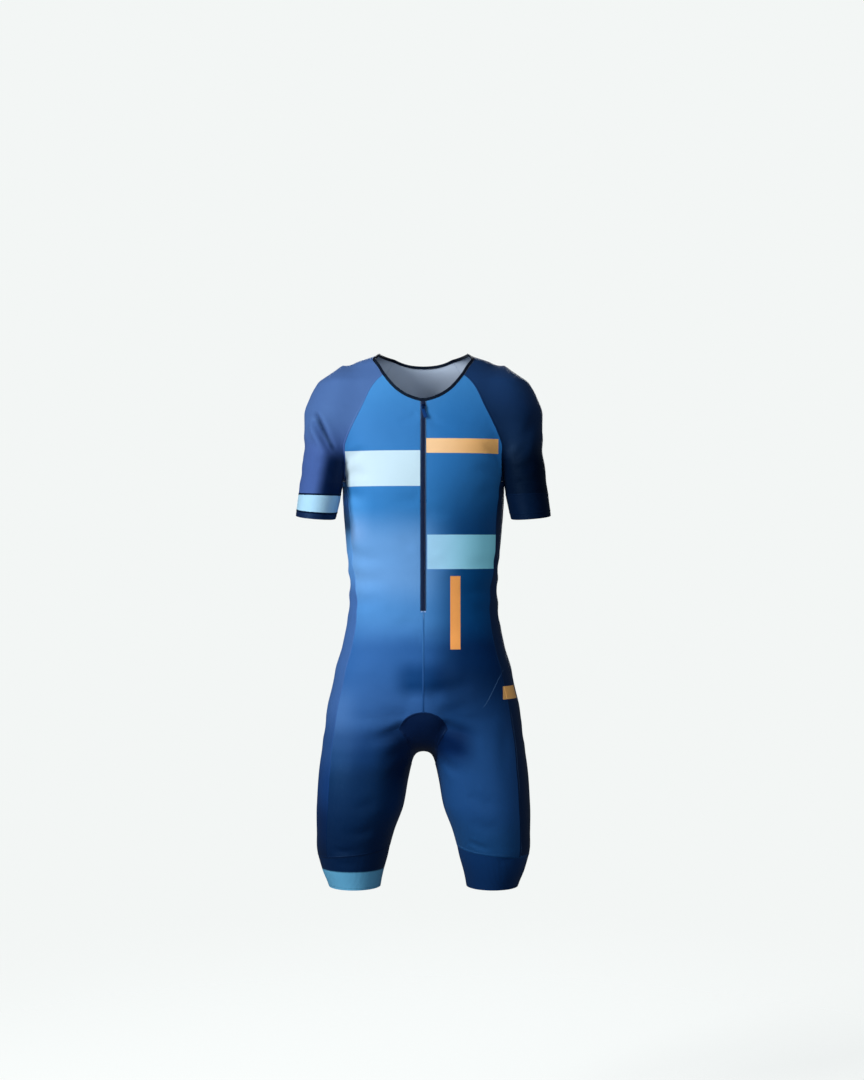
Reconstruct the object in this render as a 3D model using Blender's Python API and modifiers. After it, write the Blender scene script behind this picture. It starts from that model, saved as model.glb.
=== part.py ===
"""Short-sleeved triathlon suit with a front zip, filled out and hollow, as if worn.

The suit is one smooth form, worked out from section tables: a torso that divides into two legs, two
sleeves, and the saddle between the legs. The seams are curves on that form. Each cut piece is a net
of quads between its seams, and becomes a wall of cloth 1.5 mm thick, 0.3 mm clear of its neighbours.

Metres, +Z up. The front faces -Y and the wearer's left is +X. The origin is where the wearer's nape
carries the suit: the inner face of the back, 3 mm under the neck binding.
"""

import math

import bmesh
import bpy
import numpy as np
from mathutils import Matrix, Vector

NAME = "triathlon_suit"

# Cloth and seams
CLOTH = 0.0015
BINDING_THICKNESS = 0.0026
BINDING_HEIGHT = 0.0055
BINDING_PROUD = 0.0006
SEAM_GAP = 0.0003
NAPE_DEPTH = 0.070
ORIGIN = Vector((0.0, NAPE_DEPTH - CLOTH, 0.0))

# Heights of the main points
ARMPIT_Z = -0.2095
ZIP_TOP_Z = -0.0630
ZIP_BOTTOM_Z = -0.436
ARCH_TOP_FRONT_Z = -0.616
ARCH_TOP_BACK_Z = -0.622
CROTCH_Z = -0.718
BAND_INNER_Z = -0.862
BAND_OUTER_Z = -0.880
LEG_HEM_Z = -0.938
ZIP_HALF_WIDTH = 0.0053

# Horizontal sections of one side of the body, from the neck to the end of the leg. Each is an oval
# about (centre_x, 0): half_width to the side, front and back depth, and how square its corners are.
# Below the waist the two sides' centres part, and the ovals become the legs.
BODY_COLUMNS = ("z", "centre_x", "half_width", "front", "back", "squareness")
BODY_SECTIONS = (
    (0.060, 0.000, 0.066, 0.046, 0.058, 2.0),
    (0.040, 0.000, 0.073, 0.050, 0.061, 2.0),
    (0.027, 0.000, 0.0835, 0.056, 0.064, 2.0),
    (0.012, 0.000, 0.1235, 0.062, 0.067, 2.0),
    (0.000, 0.000, 0.141, 0.067, 0.070, 2.0),
    (-0.012, 0.000, 0.165, 0.072, 0.075, 2.0),
    (-0.025, 0.000, 0.186, 0.077, 0.081, 2.0),
    (-0.045, 0.000, 0.191, 0.084, 0.089, 2.0),
    (-0.070, 0.000, 0.193, 0.092, 0.097, 2.05),
    (-0.100, 0.000, 0.182, 0.101, 0.104, 2.15),
    (-0.130, 0.000, 0.167, 0.108, 0.109, 2.25),
    (-0.160, 0.000, 0.153, 0.113, 0.110, 2.3),
    (-0.200, 0.000, 0.148, 0.115, 0.108, 2.3),
    (-0.250, 0.000, 0.1455, 0.112, 0.101, 2.3),
    (-0.310, 0.000, 0.141, 0.105, 0.092, 2.25),
    (-0.350, 0.000, 0.137, 0.101, 0.087, 2.2),
    (-0.400, 0.000, 0.134, 0.098, 0.086, 2.2),
    (-0.450, 0.000, 0.1375, 0.098, 0.092, 2.2),
    (-0.500, 0.000, 0.147, 0.101, 0.105, 2.25),
    (-0.550, 0.004, 0.157, 0.103, 0.117, 2.3),
    (-0.600, 0.024, 0.148, 0.101, 0.124, 2.3),
    (-0.640, 0.060, 0.118, 0.096, 0.122, 2.25),
    (-0.670, 0.086, 0.096, 0.092, 0.115, 2.2),
    (-0.700, 0.101, 0.085, 0.090, 0.107, 2.15),
    (-0.740, 0.109, 0.082, 0.089, 0.099, 2.1),
    (-0.790, 0.115, 0.079, 0.086, 0.092, 2.1),
    (-0.840, 0.124, 0.070, 0.078, 0.082, 2.05),
    (-0.875, 0.128, 0.065, 0.071, 0.073, 2.0),
    (-0.905, 0.128, 0.057, 0.066, 0.067, 2.0),
    (-0.938, 0.125, 0.047, 0.060, 0.061, 2.0),
    (-0.960, 0.124, 0.043, 0.058, 0.059, 2.0),
)

# Horizontal sections of a sleeve: ovals about (centre_x, centre_y).
ARM_COLUMNS = ("z", "centre_x", "centre_y", "half_width", "half_depth")
ARM_SECTIONS = (
    (-0.020, 0.148, 0.000, 0.017, 0.025),
    (-0.050, 0.1535, -0.002, 0.038, 0.045),
    (-0.085, 0.1645, -0.008, 0.0465, 0.053),
    (-0.120, 0.1715, -0.016, 0.0445, 0.055),
    (-0.155, 0.1755, -0.024, 0.0405, 0.055),
    (-0.185, 0.1800, -0.031, 0.0400, 0.054),
    (-0.220, 0.1850, -0.040, 0.0385, 0.052),
    (-0.250, 0.1895, -0.048, 0.0375, 0.050),
    (-0.280, 0.1945, -0.056, 0.0355, 0.048),
)

# The saddle between the legs, over the seat pad: a rounded block.
SADDLE_CENTRE = (0.0, 0.006, -0.640)
SADDLE_HALF = (0.036, 0.092, 0.0495)
SADDLE_SQUARENESS = 2.6
SADDLE_BLEND = 0.016
LEG_BLEND = 0.030
LEG_BLEND_PER_CENTRE = 0.6
SHOULDER_BLEND = 0.040
SHOULDER_BLEND_Z = -0.060
ARMPIT_BLEND = 0.004

# The edge of the neck opening below the binding: half of it, as (x, z) seen from the front and from
# behind, and its height on the ridge of the shoulder between them.
NECK_FRONT = (
    (0.0053, -0.0630),
    (0.0180, -0.0600),
    (0.0340, -0.0530),
    (0.0500, -0.0420),
    (0.0620, -0.0290),
    (0.0735, -0.0135),
)
NECK_RIDGE_Z = 0.0265
NECK_BACK = (
    (0.0000, 0.0062),
    (0.0130, 0.0066),
    (0.0270, 0.0082),
    (0.0420, 0.0122),
    (0.0550, 0.0180),
)

# The raglan seams, as (x, z) seen from the front and from behind, from the neck to near the armpit.
RAGLAN_FRONT = (
    (0.0735, -0.0135),
    (0.0865, -0.0235),
    (0.0975, -0.0400),
    (0.1080, -0.0660),
    (0.1215, -0.0920),
    (0.1350, -0.1200),
    (0.1420, -0.1400),
)
RAGLAN_BACK = (
    (0.0550, 0.0180),
    (0.0730, -0.0080),
    (0.0920, -0.0480),
    (0.1120, -0.0880),
    (0.1290, -0.1220),
    (0.1400, -0.1400),
)

# From there to the armpit the seam runs where sleeve and torso meet, found by looking round the torso.
VALLEY_TOP_Z = -0.150
VALLEY_ROWS = 8
VALLEY_ANGLES = (75.0, -5.0)
VALLEY_LOOKS = 321
VALLEY_FILL = 0.030
GRADIENT_STEP = 0.0001

# Where the side panel's two seams lie, as angles round the body from straight out to the side.
SIDE_COLUMNS = ("z", "front_angle", "back_angle")
SIDE_SEAMS = (
    (-0.160, -20.0, 22.0),
    (-0.250, -23.0, 30.0),
    (-0.346, -18.0, 32.0),
    (-0.440, -29.0, 33.0),
    (-0.510, -36.0, 33.0),
    (-0.580, -40.0, 32.0),
    (-0.640, -43.0, 33.0),
    (-0.700, -45.0, 36.0),
    (-0.790, -47.0, 38.0),
    (-0.880, -48.0, 38.0),
)
# The drop over which each seam settles from the armhole's corner into the table's angles
SIDE_SETTLE = 0.10

# The arch of the crotch gusset, half of it, as (x, z) seen from the front and from behind.
ARCH_FRONT = (
    (0.000, ARCH_TOP_FRONT_Z),
    (0.013, -0.6175),
    (0.026, -0.6230),
    (0.036, -0.6330),
    (0.041, -0.6480),
)
ARCH_BACK = (
    (0.000, ARCH_TOP_BACK_Z),
    (0.014, -0.6235),
    (0.028, -0.6290),
    (0.038, -0.6390),
    (0.043, -0.6540),
)
GUSSET_CENTRE_Z = -0.600

# Heights on the middle line of the row that meets the top of the side panel
CHEST_FRONT_Z = -0.225
CHEST_BACK_Z = -0.200

# How many quads each stretch takes
COLUMNS = 9
SLEEVE_COLUMNS = 14
RAGLAN_ROWS = 14
SIDE_TOP = 2
CHEST_ROWS = RAGLAN_ROWS - SIDE_TOP
ZIP_ROWS = 22
WAIST_ROW = 20
CENTRE_ROWS = 9
ARCH_ROWS = 4
GUSSET_ROWS = 3
INSEAM_ROWS = 10
LEG_BAND_ROWS = 3

# How the surface is found along a ray, and how a short table is rounded into a line
CAST_REACH = 0.26
CAST_STEPS = 90
CAST_HALVINGS = 26
LINE_STEPS = 60
LINE_SOFTENINGS = 40
RAGLAN_SEEN = 24

# A cut edge is drawn back by half the seam gap; where two edges meet in a point, by up to this much more.
POINT_PULL_LIMIT = 0.7

# The sleeve is a fan of planes that turn about the armpit from the neck to level, then move down.
FAN_PIVOT = (0.118, ARMPIT_Z)
FAN_START = math.radians(107.0)
FAN_NECK_REACH = 0.120
SLEEVE_HEM_Z = -0.269
SLEEVE_HEM_TILT = math.radians(5.0)
SLEEVE_HEM_DIP = 0.07
SLEEVE_BAND_V = 1.31
SLEEVE_EDGE_V = 1.82

# The largest folds, as soft troughs between two points seen from the front:
# start x and z, end x and z, face, depth, half width. Each fades by a share towards its end.
FRONT = -1
BACK = 1
FOLD_FADE = 0.6
FOLDS = (
    (0.036, -0.646, 0.090, -0.662, FRONT, 0.0045, 0.013),
    (0.050, -0.630, 0.120, -0.628, FRONT, 0.0022, 0.012),
    (0.205, -0.090, 0.165, -0.150, FRONT, 0.0030, 0.010),
    (0.040, -0.660, 0.105, -0.690, BACK, 0.0045, 0.014),
    (0.050, -0.640, 0.110, -0.640, BACK, 0.0025, 0.012),
    (0.200, -0.100, 0.160, -0.155, BACK, 0.0030, 0.011),
    (0.030, -0.385, 0.110, -0.372, BACK, 0.0028, 0.016),
)

# The zip's slider and its pull, in the slider's own frame: x across, y along the zip, z off the cloth.
SLIDER_Z = -0.0745
SLIDER_SIZE = (0.0078, 0.0110, 0.0024)
SLIDER_ROUNDING = 0.0006
SLIDER_CLEARANCE = 0.0005
BRIDGE_SIZE = (0.0016, 0.0080, 0.0038)
BRIDGE_SUNK = 0.0006
BRIDGE_OPENING = (0.0040, 0.0024)
PULL_BAR = 0.0012
PULL_FRAME_HALF = 0.0030
PULL_OPENING = (0.0032, 0.0042)
PULL_LENGTH = 0.0215
PULL_END_HALF = 0.0034
PULL_LEAN = math.radians(18.0)
PULL_ROUNDING = 0.00025
CUTTER_WIDTH = 0.006

SHARP_ANGLE = math.radians(50.0)

# Colours
NAVY = (0.016, 0.045, 0.150, 1.0)
DEEP_NAVY = (0.008, 0.020, 0.075, 1.0)
BLUE = (0.050, 0.190, 0.520, 1.0)
LIGHT_BLUE = (0.210, 0.500, 0.700, 1.0)
BLACK = (0.006, 0.008, 0.016, 1.0)

# Roughness and metallic value
FABRIC = (0.6, 0.0)
PAINTED_METAL = (0.35, 0.6)
PLASTIC = (0.5, 0.0)


# ---------------------------------------------------------------- the form


def smooth_column(table, columns, name, z):
    """A table's column at the heights z, through its rows on one smooth curve without overshoot."""
    rows = sorted(table)
    knots = np.array([row[0] for row in rows])
    values = np.array([row[columns.index(name)] for row in rows])
    steps = np.diff(knots)
    slopes = np.diff(values) / steps
    tangents = np.zeros(len(knots))
    for i in range(1, len(knots) - 1):
        if slopes[i - 1] * slopes[i] > 0:
            near, far = 2 * steps[i] + steps[i - 1], steps[i] + 2 * steps[i - 1]
            tangents[i] = (near + far) / (near / slopes[i - 1] + far / slopes[i])
    tangents[0], tangents[-1] = slopes[0], slopes[-1]
    z = np.clip(z, knots[0], knots[-1])
    k = np.clip(np.searchsorted(knots, z) - 1, 0, len(steps) - 1)
    t = (z - knots[k]) / steps[k]
    rise = t * t * (3 - 2 * t)
    start = values[k] + rise * (values[k + 1] - values[k])
    return start + steps[k] * (tangents[k] * t * (1 - t) ** 2 - tangents[k + 1] * t * t * (1 - t))


def ease(value, low, high):
    """0 below low and 1 above high, smooth between."""
    t = np.clip((value - low) / (high - low), 0.0, 1.0)
    return t * t * (3 - 2 * t)


def blend(a, b, reach):
    """The smaller of two distances, rounded over the reach where they are near each other."""
    reach = np.maximum(reach, 1e-6)
    near = np.maximum(reach - np.abs(a - b), 0.0) / reach
    return np.minimum(a, b) - near * near * reach / 4


def oval(across, along, half_width, half_depth, squareness):
    """Roughly how far a point lies outside an oval section."""
    ratio = np.abs(across / half_width) ** squareness + np.abs(along / half_depth) ** squareness
    return (ratio ** (1 / squareness) - 1) * np.minimum(half_width, half_depth)


def body_distance(x, y, z):
    """How far points lie outside the torso and legs, without the sleeves."""
    section = {name: smooth_column(BODY_SECTIONS, BODY_COLUMNS, name, z) for name in BODY_COLUMNS[1:]}
    depth = np.where(y < 0, section["front"], section["back"])
    near = oval(np.abs(x) - section["centre_x"], y, section["half_width"], depth, section["squareness"])
    far = oval(np.abs(x) + section["centre_x"], y, section["half_width"], depth, section["squareness"])
    both = blend(near, far, np.minimum(LEG_BLEND, LEG_BLEND_PER_CENTRE * section["centre_x"]))
    offset = [np.abs((value - centre) / half) ** SADDLE_SQUARENESS
              for value, centre, half in zip((x, y, z), SADDLE_CENTRE, SADDLE_HALF)]
    saddle = (sum(offset) ** (1 / SADDLE_SQUARENESS) - 1) * SADDLE_HALF[0]
    return blend(both, saddle, SADDLE_BLEND)


def arm_distance(x, y, z):
    """How far points lie outside the sleeves."""
    section = {name: smooth_column(ARM_SECTIONS, ARM_COLUMNS, name, z) for name in ARM_COLUMNS[1:]}
    across = np.abs(x) - section["centre_x"]
    along = y - section["centre_y"]
    distance = oval(across, along, section["half_width"], section["half_depth"], 2.0)
    return np.where(z > ARM_SECTIONS[0][0], distance + (z - ARM_SECTIONS[0][0]), distance)


def suit_distance(x, y, z):
    """How far points lie outside the whole suit above the armpits, and its torso and legs below."""
    body = body_distance(x, y, z)
    reach = ARMPIT_BLEND + (SHOULDER_BLEND - ARMPIT_BLEND) * ease(z, ARMPIT_Z, SHOULDER_BLEND_Z)
    return np.where(z >= ARMPIT_Z, blend(body, arm_distance(x, y, z), reach), body)


def cast(origins, directions, distance, reach=CAST_REACH):
    """Where rays from inside the form first cross its surface."""
    origins = np.asarray(origins, float)
    directions = np.asarray(directions, float)
    directions = directions / np.linalg.norm(directions, axis=-1, keepdims=True)
    low = np.zeros(len(origins))
    high = np.full(len(origins), reach)
    found = np.zeros(len(origins), bool)
    for step in range(1, CAST_STEPS + 1):
        travel = reach * step / CAST_STEPS
        outside = distance(*(origins + directions * travel).T) > 0
        first = outside & ~found
        low[first] = travel - reach / CAST_STEPS
        high[first] = travel
        found |= outside
    for _ in range(CAST_HALVINGS):
        middle = (low + high) / 2
        outside = distance(*(origins + directions * middle[:, None]).T) > 0
        high = np.where(outside, middle, high)
        low = np.where(outside, low, middle)
    return origins + directions * high[:, None]


# ---------------------------------------------------------------- charts of the form


def ray_centre(z):
    """Where the body's level rays start: its middle above the waist, a leg's middle below the crotch."""
    leg = smooth_column(BODY_SECTIONS, BODY_COLUMNS, "centre_x", np.minimum(z, CROTCH_Z))
    return leg * ease(-z, 0.30, -CROTCH_Z)


def body_points(angle, z):
    """Points on the torso and legs at angles round them: 0 is out to the side, -90 degrees the front."""
    angle, z = np.broadcast_arrays(np.asarray(angle, float), np.asarray(z, float))
    origins = np.stack([ray_centre(z), np.zeros_like(z), z], axis=-1)
    directions = np.stack([np.cos(angle), np.sin(angle), np.zeros_like(z)], axis=-1)
    return cast(origins.reshape(-1, 3), directions.reshape(-1, 3), suit_distance).reshape(*z.shape, 3)


def body_chart(points, face):
    """The angle and height of points on the front (face -1) or the back (face 1) of the body."""
    angle = np.arctan2(points[..., 1], points[..., 0] - ray_centre(points[..., 2]))
    return np.stack([face * np.abs(angle), points[..., 2]], axis=-1)


def facing_points(x, z, face):
    """Points on the form at (x, z) as seen straight from the front or from behind."""
    x, z = np.asarray(x, float), np.asarray(z, float)
    origins = np.stack([x, np.zeros_like(x), z], axis=-1)
    return cast(origins, np.tile((0.0, face, 0.0), (len(x), 1)), suit_distance)


def fan_frame(v):
    """A sleeve plane's ray origin and its outward direction: v runs 0 to 1 round the fan, to 2 at the hem."""
    turn = np.clip(v, 0.0, 1.0)
    down = np.clip(v - 1.0, 0.0, None)
    angle = FAN_START * (1 - turn) + SLEEVE_HEM_TILT * np.clip(down, 0.0, 1.0)
    level_z = ARMPIT_Z + (SLEEVE_HEM_Z - ARMPIT_Z) * down
    arm_x = smooth_column(ARM_SECTIONS, ARM_COLUMNS, "centre_x", level_z)
    arm_y = smooth_column(ARM_SECTIONS, ARM_COLUMNS, "centre_y", level_z) * ease(v, 0.2, 1.0)
    reach = FAN_NECK_REACH + (arm_x - FAN_PIVOT[0] - FAN_NECK_REACH) * ease(v, 0.0, 1.0)
    outward = np.stack([np.cos(angle), np.zeros_like(angle), np.sin(angle)], axis=-1)
    fan = np.stack([np.full_like(angle, FAN_PIVOT[0]), arm_y, np.full_like(angle, FAN_PIVOT[1])], axis=-1)
    level = np.stack([arm_x, arm_y, level_z], axis=-1)
    origin = np.where((v <= 1.0)[..., None], fan + outward * reach[..., None], level)
    return origin, outward


def sleeve_points(v, angle):
    """Points on the sleeve in plane v, at angles round it: 0 is outward, -90 degrees the front."""
    v, angle = np.broadcast_arrays(np.asarray(v, float), np.asarray(angle, float))
    origin, outward = fan_frame(v)
    sideways = np.array((0.0, 1.0, 0.0))
    directions = np.cos(angle)[..., None] * outward + np.sin(angle)[..., None] * sideways
    shape = v.shape
    v, origin, directions = v.ravel(), origin.reshape(-1, 3), directions.reshape(-1, 3)
    upper = cast(origin, directions, suit_distance)
    lower = cast(origin, directions, arm_distance)
    return np.where((v < 1.0)[:, None], upper, lower).reshape(*shape, 3)


def sleeve_chart(points, face):
    """The plane and angle of points on the sleeve above the armpit."""
    turn = np.arctan2(points[..., 2] - FAN_PIVOT[1], points[..., 0] - FAN_PIVOT[0])
    v = 1 - turn / FAN_START
    origin, outward = fan_frame(v)
    offset = points - origin
    angle = np.arctan2(offset[..., 1], (offset * outward).sum(axis=-1))
    return np.stack([v, face * np.abs(angle)], axis=-1)


def gusset_points(x, angle):
    """Points on the saddle between the legs, at angles from straight ahead down and round to the back."""
    origins = np.stack([x, np.zeros_like(x), np.full_like(x, GUSSET_CENTRE_Z)], axis=-1)
    directions = np.stack([np.zeros_like(x), -np.cos(angle), -np.sin(angle)], axis=-1)
    return cast(origins.reshape(-1, 3), directions.reshape(-1, 3), suit_distance).reshape(*x.shape, 3)


def gusset_chart(points):
    """How far out to the side points on the saddle lie, and their angle round it."""
    angle = np.arctan2(GUSSET_CENTRE_Z - points[..., 2], -points[..., 1])
    return np.stack([points[..., 0], angle], axis=-1)


# ---------------------------------------------------------------- seams and nets


def resample(line, count):
    """A polyline's points, as count equal steps along it."""
    line = np.asarray(line, float)
    lengths = np.concatenate([[0.0], np.cumsum(np.linalg.norm(np.diff(line, axis=0), axis=1))])
    wanted = lengths[-1] * np.linspace(0.0, 1.0, count + 1)
    return np.stack([np.interp(wanted, lengths, line[:, i]) for i in range(line.shape[1])], axis=-1)


def soft_line(line, count):
    """A short table's points as one rounded line of count steps."""
    line = resample(line, LINE_STEPS)
    for _ in range(LINE_SOFTENINGS):
        line[1:-1] = (line[:-2] + 2 * line[1:-1] + line[2:]) / 4
    return resample(line, count)


def fill(top, bottom, left, right):
    """Chart values inside four borders: top and bottom run left to right, left and right top to bottom."""
    rows, columns = len(left), len(top)
    u = np.linspace(0.0, 1.0, columns)[None, :, None]
    v = np.linspace(0.0, 1.0, rows)[:, None, None]
    sides = left[:, None] * (1 - u) + right[:, None] * u
    ends = top[None] * (1 - v) + bottom[None] * v
    corners = (top[0] * (1 - u) + top[-1] * u) * (1 - v) + (bottom[0] * (1 - u) + bottom[-1] * u) * v
    return sides + ends - corners


def turned_over(corners):
    """A face's corners the other way round, from the same first corner, so a quad splits alike."""
    return [corners[0], *corners[:0:-1]]


class Net:
    """The suit's outer face: points, and quads that each belong to a named piece."""

    def __init__(self):
        self.points = []
        self.faces = []
        self.pieces = []

    def add(self, points):
        """Adds points, and gives their numbers in the same arrangement."""
        points = np.asarray(points, float)
        first = len(self.points)
        self.points.extend(points.reshape(-1, 3))
        return np.arange(first, len(self.points)).reshape(points.shape[:-1])

    def where(self, numbers):
        """The points with these numbers, in the same arrangement."""
        return np.array([self.points[i] for i in np.ravel(numbers)]).reshape(*np.shape(numbers), 3)

    def face(self, piece, corners):
        """Adds one face, unless its corners meet in fewer than three points."""
        kept = list(dict.fromkeys(int(i) for i in corners))
        if len(kept) > 2:
            self.faces.append(kept)
            self.pieces.append(piece)

    def quads(self, piece, numbers, outward=True):
        """Adds a grid of point numbers as quads; outward=False turns them over."""
        for row in range(numbers.shape[0] - 1):
            for column in range(numbers.shape[1] - 1):
                corners = [numbers[row, column], numbers[row + 1, column],
                           numbers[row + 1, column + 1], numbers[row, column + 1]]
                self.face(piece, corners if outward else corners[::-1])

    def mirrored(self):
        """This net and its mirror image, which share the points on the middle plane."""
        whole = Net()
        whole.points = list(self.points)
        twins = {}
        for i, point in enumerate(self.points):
            if abs(point[0]) < 1e-6:
                point[0] = 0.0
                twins[i] = i
            else:
                twins[i] = len(whole.points)
                whole.points.append(point * (-1.0, 1.0, 1.0))
        for corners, piece in zip(self.faces, self.pieces):
            whole.faces.append(corners)
            whole.pieces.append(piece)
            whole.faces.append([twins[i] for i in turned_over(corners)])
            whole.pieces.append(piece.replace("_left", "_right"))
        return whole


def valley_points(face):
    """Where sleeve and torso meet between the end of the raglan table and the armpit, from the top down."""
    points = []
    for z in np.linspace(VALLEY_TOP_Z, ARMPIT_Z, VALLEY_ROWS):
        angle = np.radians(np.linspace(*VALLEY_ANGLES, VALLEY_LOOKS)) * face
        origins = np.tile((0.0, 0.0, z), (len(angle), 1))
        directions = np.stack([np.cos(angle), np.sin(angle), np.zeros_like(angle)], axis=-1)
        ring = cast(origins, directions, body_distance)
        clearance = arm_distance(*ring.T)
        touching = np.argmax(clearance < 0) if (clearance < 0).any() else np.argmin(clearance)
        points.append(ring[touching])
    points = np.array(points)
    outward = level_gradient(points, body_distance) + level_gradient(points, arm_distance)
    outward[-1] = (0.0, face, 0.0)
    raised = cast(points, outward, suit_distance, VALLEY_FILL)
    raised[-1] = points[-1]
    return raised


def level_gradient(points, distance):
    """The level direction in which a distance grows fastest, of length 1."""
    slope = np.zeros_like(points)
    for axis in (0, 1):
        shift = np.zeros(3)
        shift[axis] = GRADIENT_STEP
        slope[:, axis] = distance(*(points + shift).T) - distance(*(points - shift).T)
    return slope / np.linalg.norm(slope, axis=1, keepdims=True)


def seam_lines():
    """The raglan seams of the wearer's left side, as rows of points from the neck to the armpit."""
    valleys = {FRONT: valley_points(FRONT), BACK: valley_points(BACK)}
    armpit = (valleys[FRONT][-1] + valleys[BACK][-1]) / 2
    lines = {}
    for face, table, name in ((FRONT, RAGLAN_FRONT, "front"), (BACK, RAGLAN_BACK, "back")):
        seen = soft_line(table, RAGLAN_SEEN)
        upper = facing_points(seen[:, 0], seen[:, 1], face)
        seam = resample(np.vstack([upper, valleys[face][:-1], armpit]), RAGLAN_ROWS)
        lines[f"raglan_{name}"] = seam
    return lines


def row_heights(start, stops):
    """Heights from start through (height, rows) stops, evenly spaced within each."""
    heights = [start]
    for height, rows in stops:
        heights.extend(np.linspace(heights[-1], height, rows + 1)[1:])
    return np.array(heights)


def side_seam(start, name):
    """The seam between the side panel and the front or back, from the raglan seam to the leg band."""
    upper_rows = ZIP_ROWS + CENTRE_ROWS - CHEST_ROWS
    lower_rows = ARCH_ROWS + GUSSET_ROWS + INSEAM_ROWS
    z = row_heights(start[2], ((ARCH_TOP_FRONT_Z, upper_rows), (BAND_OUTER_Z, lower_rows)))
    angle = np.radians(smooth_column(SIDE_SEAMS, SIDE_COLUMNS, name, z))
    own = math.atan2(start[1], start[0])
    settle = 1 - ease(start[2] - z, 0.0, SIDE_SETTLE)
    table = np.radians(smooth_column(SIDE_SEAMS, SIDE_COLUMNS, name, start[2]))
    return body_points(angle + (own - table) * settle, z)


def gusset_edges():
    """The gusset's arches, its two side edges and the point where they meet the inseam."""
    edges = {}
    meeting = body_points([math.pi], [CROTCH_Z])[0]
    for face, table, name in ((FRONT, ARCH_FRONT, "front"), (BACK, ARCH_BACK, "back")):
        seen = soft_line(table, ARCH_ROWS)
        edges[f"arch_{name}"] = facing_points(seen[:, 0], seen[:, 1], face)
        corner = body_chart(edges[f"arch_{name}"][-1], face)
        t = np.linspace(0.0, 1.0, GUSSET_ROWS + 1)
        angle = corner[0] + (face * math.pi - corner[0]) * t
        z = corner[1] + (CROTCH_Z - corner[1]) * np.sin(t * math.pi / 2)
        edges[f"side_{name}"] = body_points(angle, z)
        edges[f"side_{name}"][-1] = meeting
    return edges


def inner_borders(gusset):
    """The middle borders of front and back, from the neck to the leg band, as points."""
    zip_z = row_heights(ZIP_TOP_Z, ((CHEST_FRONT_Z, CHEST_ROWS), (ZIP_BOTTOM_Z, ZIP_ROWS - CHEST_ROWS)))
    zip_edge = facing_points(np.full(len(zip_z), ZIP_HALF_WIDTH), zip_z, FRONT)
    zip_middle = facing_points(np.zeros(len(zip_z)), zip_z, FRONT)
    centre_z = np.linspace(ZIP_BOTTOM_Z, ARCH_TOP_FRONT_Z, CENTRE_ROWS + 1)[1:]
    centre = facing_points(np.zeros(len(centre_z)), centre_z, FRONT)
    lower_rows = ZIP_ROWS + CENTRE_ROWS - CHEST_ROWS
    back_z = row_heights(NECK_BACK[0][1], ((CHEST_BACK_Z, CHEST_ROWS), (ARCH_TOP_BACK_Z, lower_rows)))
    back_centre = facing_points(np.zeros(len(back_z)), back_z, BACK)
    inseam_z = np.linspace(CROTCH_Z, BAND_INNER_Z, INSEAM_ROWS + 1)[1:]
    inseam = body_points(np.full(len(inseam_z), math.pi), inseam_z)
    return {
        "zip_middle": zip_middle,
        "front": np.vstack([zip_edge, centre, gusset["arch_front"][1:], gusset["side_front"][1:], inseam]),
        "back": np.vstack([back_centre, gusset["arch_back"][1:], gusset["side_back"][1:], inseam]),
    }


def neck_edges(raglan_front, raglan_back):
    """The neck edge of the front, the sleeve and the back."""
    front = soft_line(NECK_FRONT, COLUMNS)
    front_points = facing_points(front[:, 0], front[:, 1], FRONT)
    back = soft_line(NECK_BACK, COLUMNS)
    back_points = facing_points(back[:, 0], back[:, 1], BACK)
    start, end = body_chart(raglan_front, FRONT), body_chart(raglan_back, BACK)
    t = np.linspace(-1.0, 1.0, SLEEVE_COLUMNS + 1)
    z = NECK_RIDGE_Z + (np.where(t < 0, start[1], end[1]) - NECK_RIDGE_Z) * t * t
    angle = np.where(t < 0, -t * start[0], t * end[0])
    over = resample(body_points(angle, z), SLEEVE_COLUMNS)
    return {"front": front_points, "back": back_points, "sleeve": over}


def panel(net, piece, borders, chart, surface):
    """Fills a panel between its borders (top, bottom, left, right), and gives its point numbers.

    Its quads are added when it has a piece's name.
    """
    values = fill(*(chart(net.where(border)) for border in borders))
    points = surface(values[..., 0], values[..., 1])
    numbers = np.full(points.shape[:2], -1)
    numbers[0], numbers[-1], numbers[:, 0], numbers[:, -1] = borders
    inside = numbers < 0
    numbers[inside] = net.add(points[inside])
    if piece:
        net.quads(piece, numbers)
    return numbers


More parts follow.
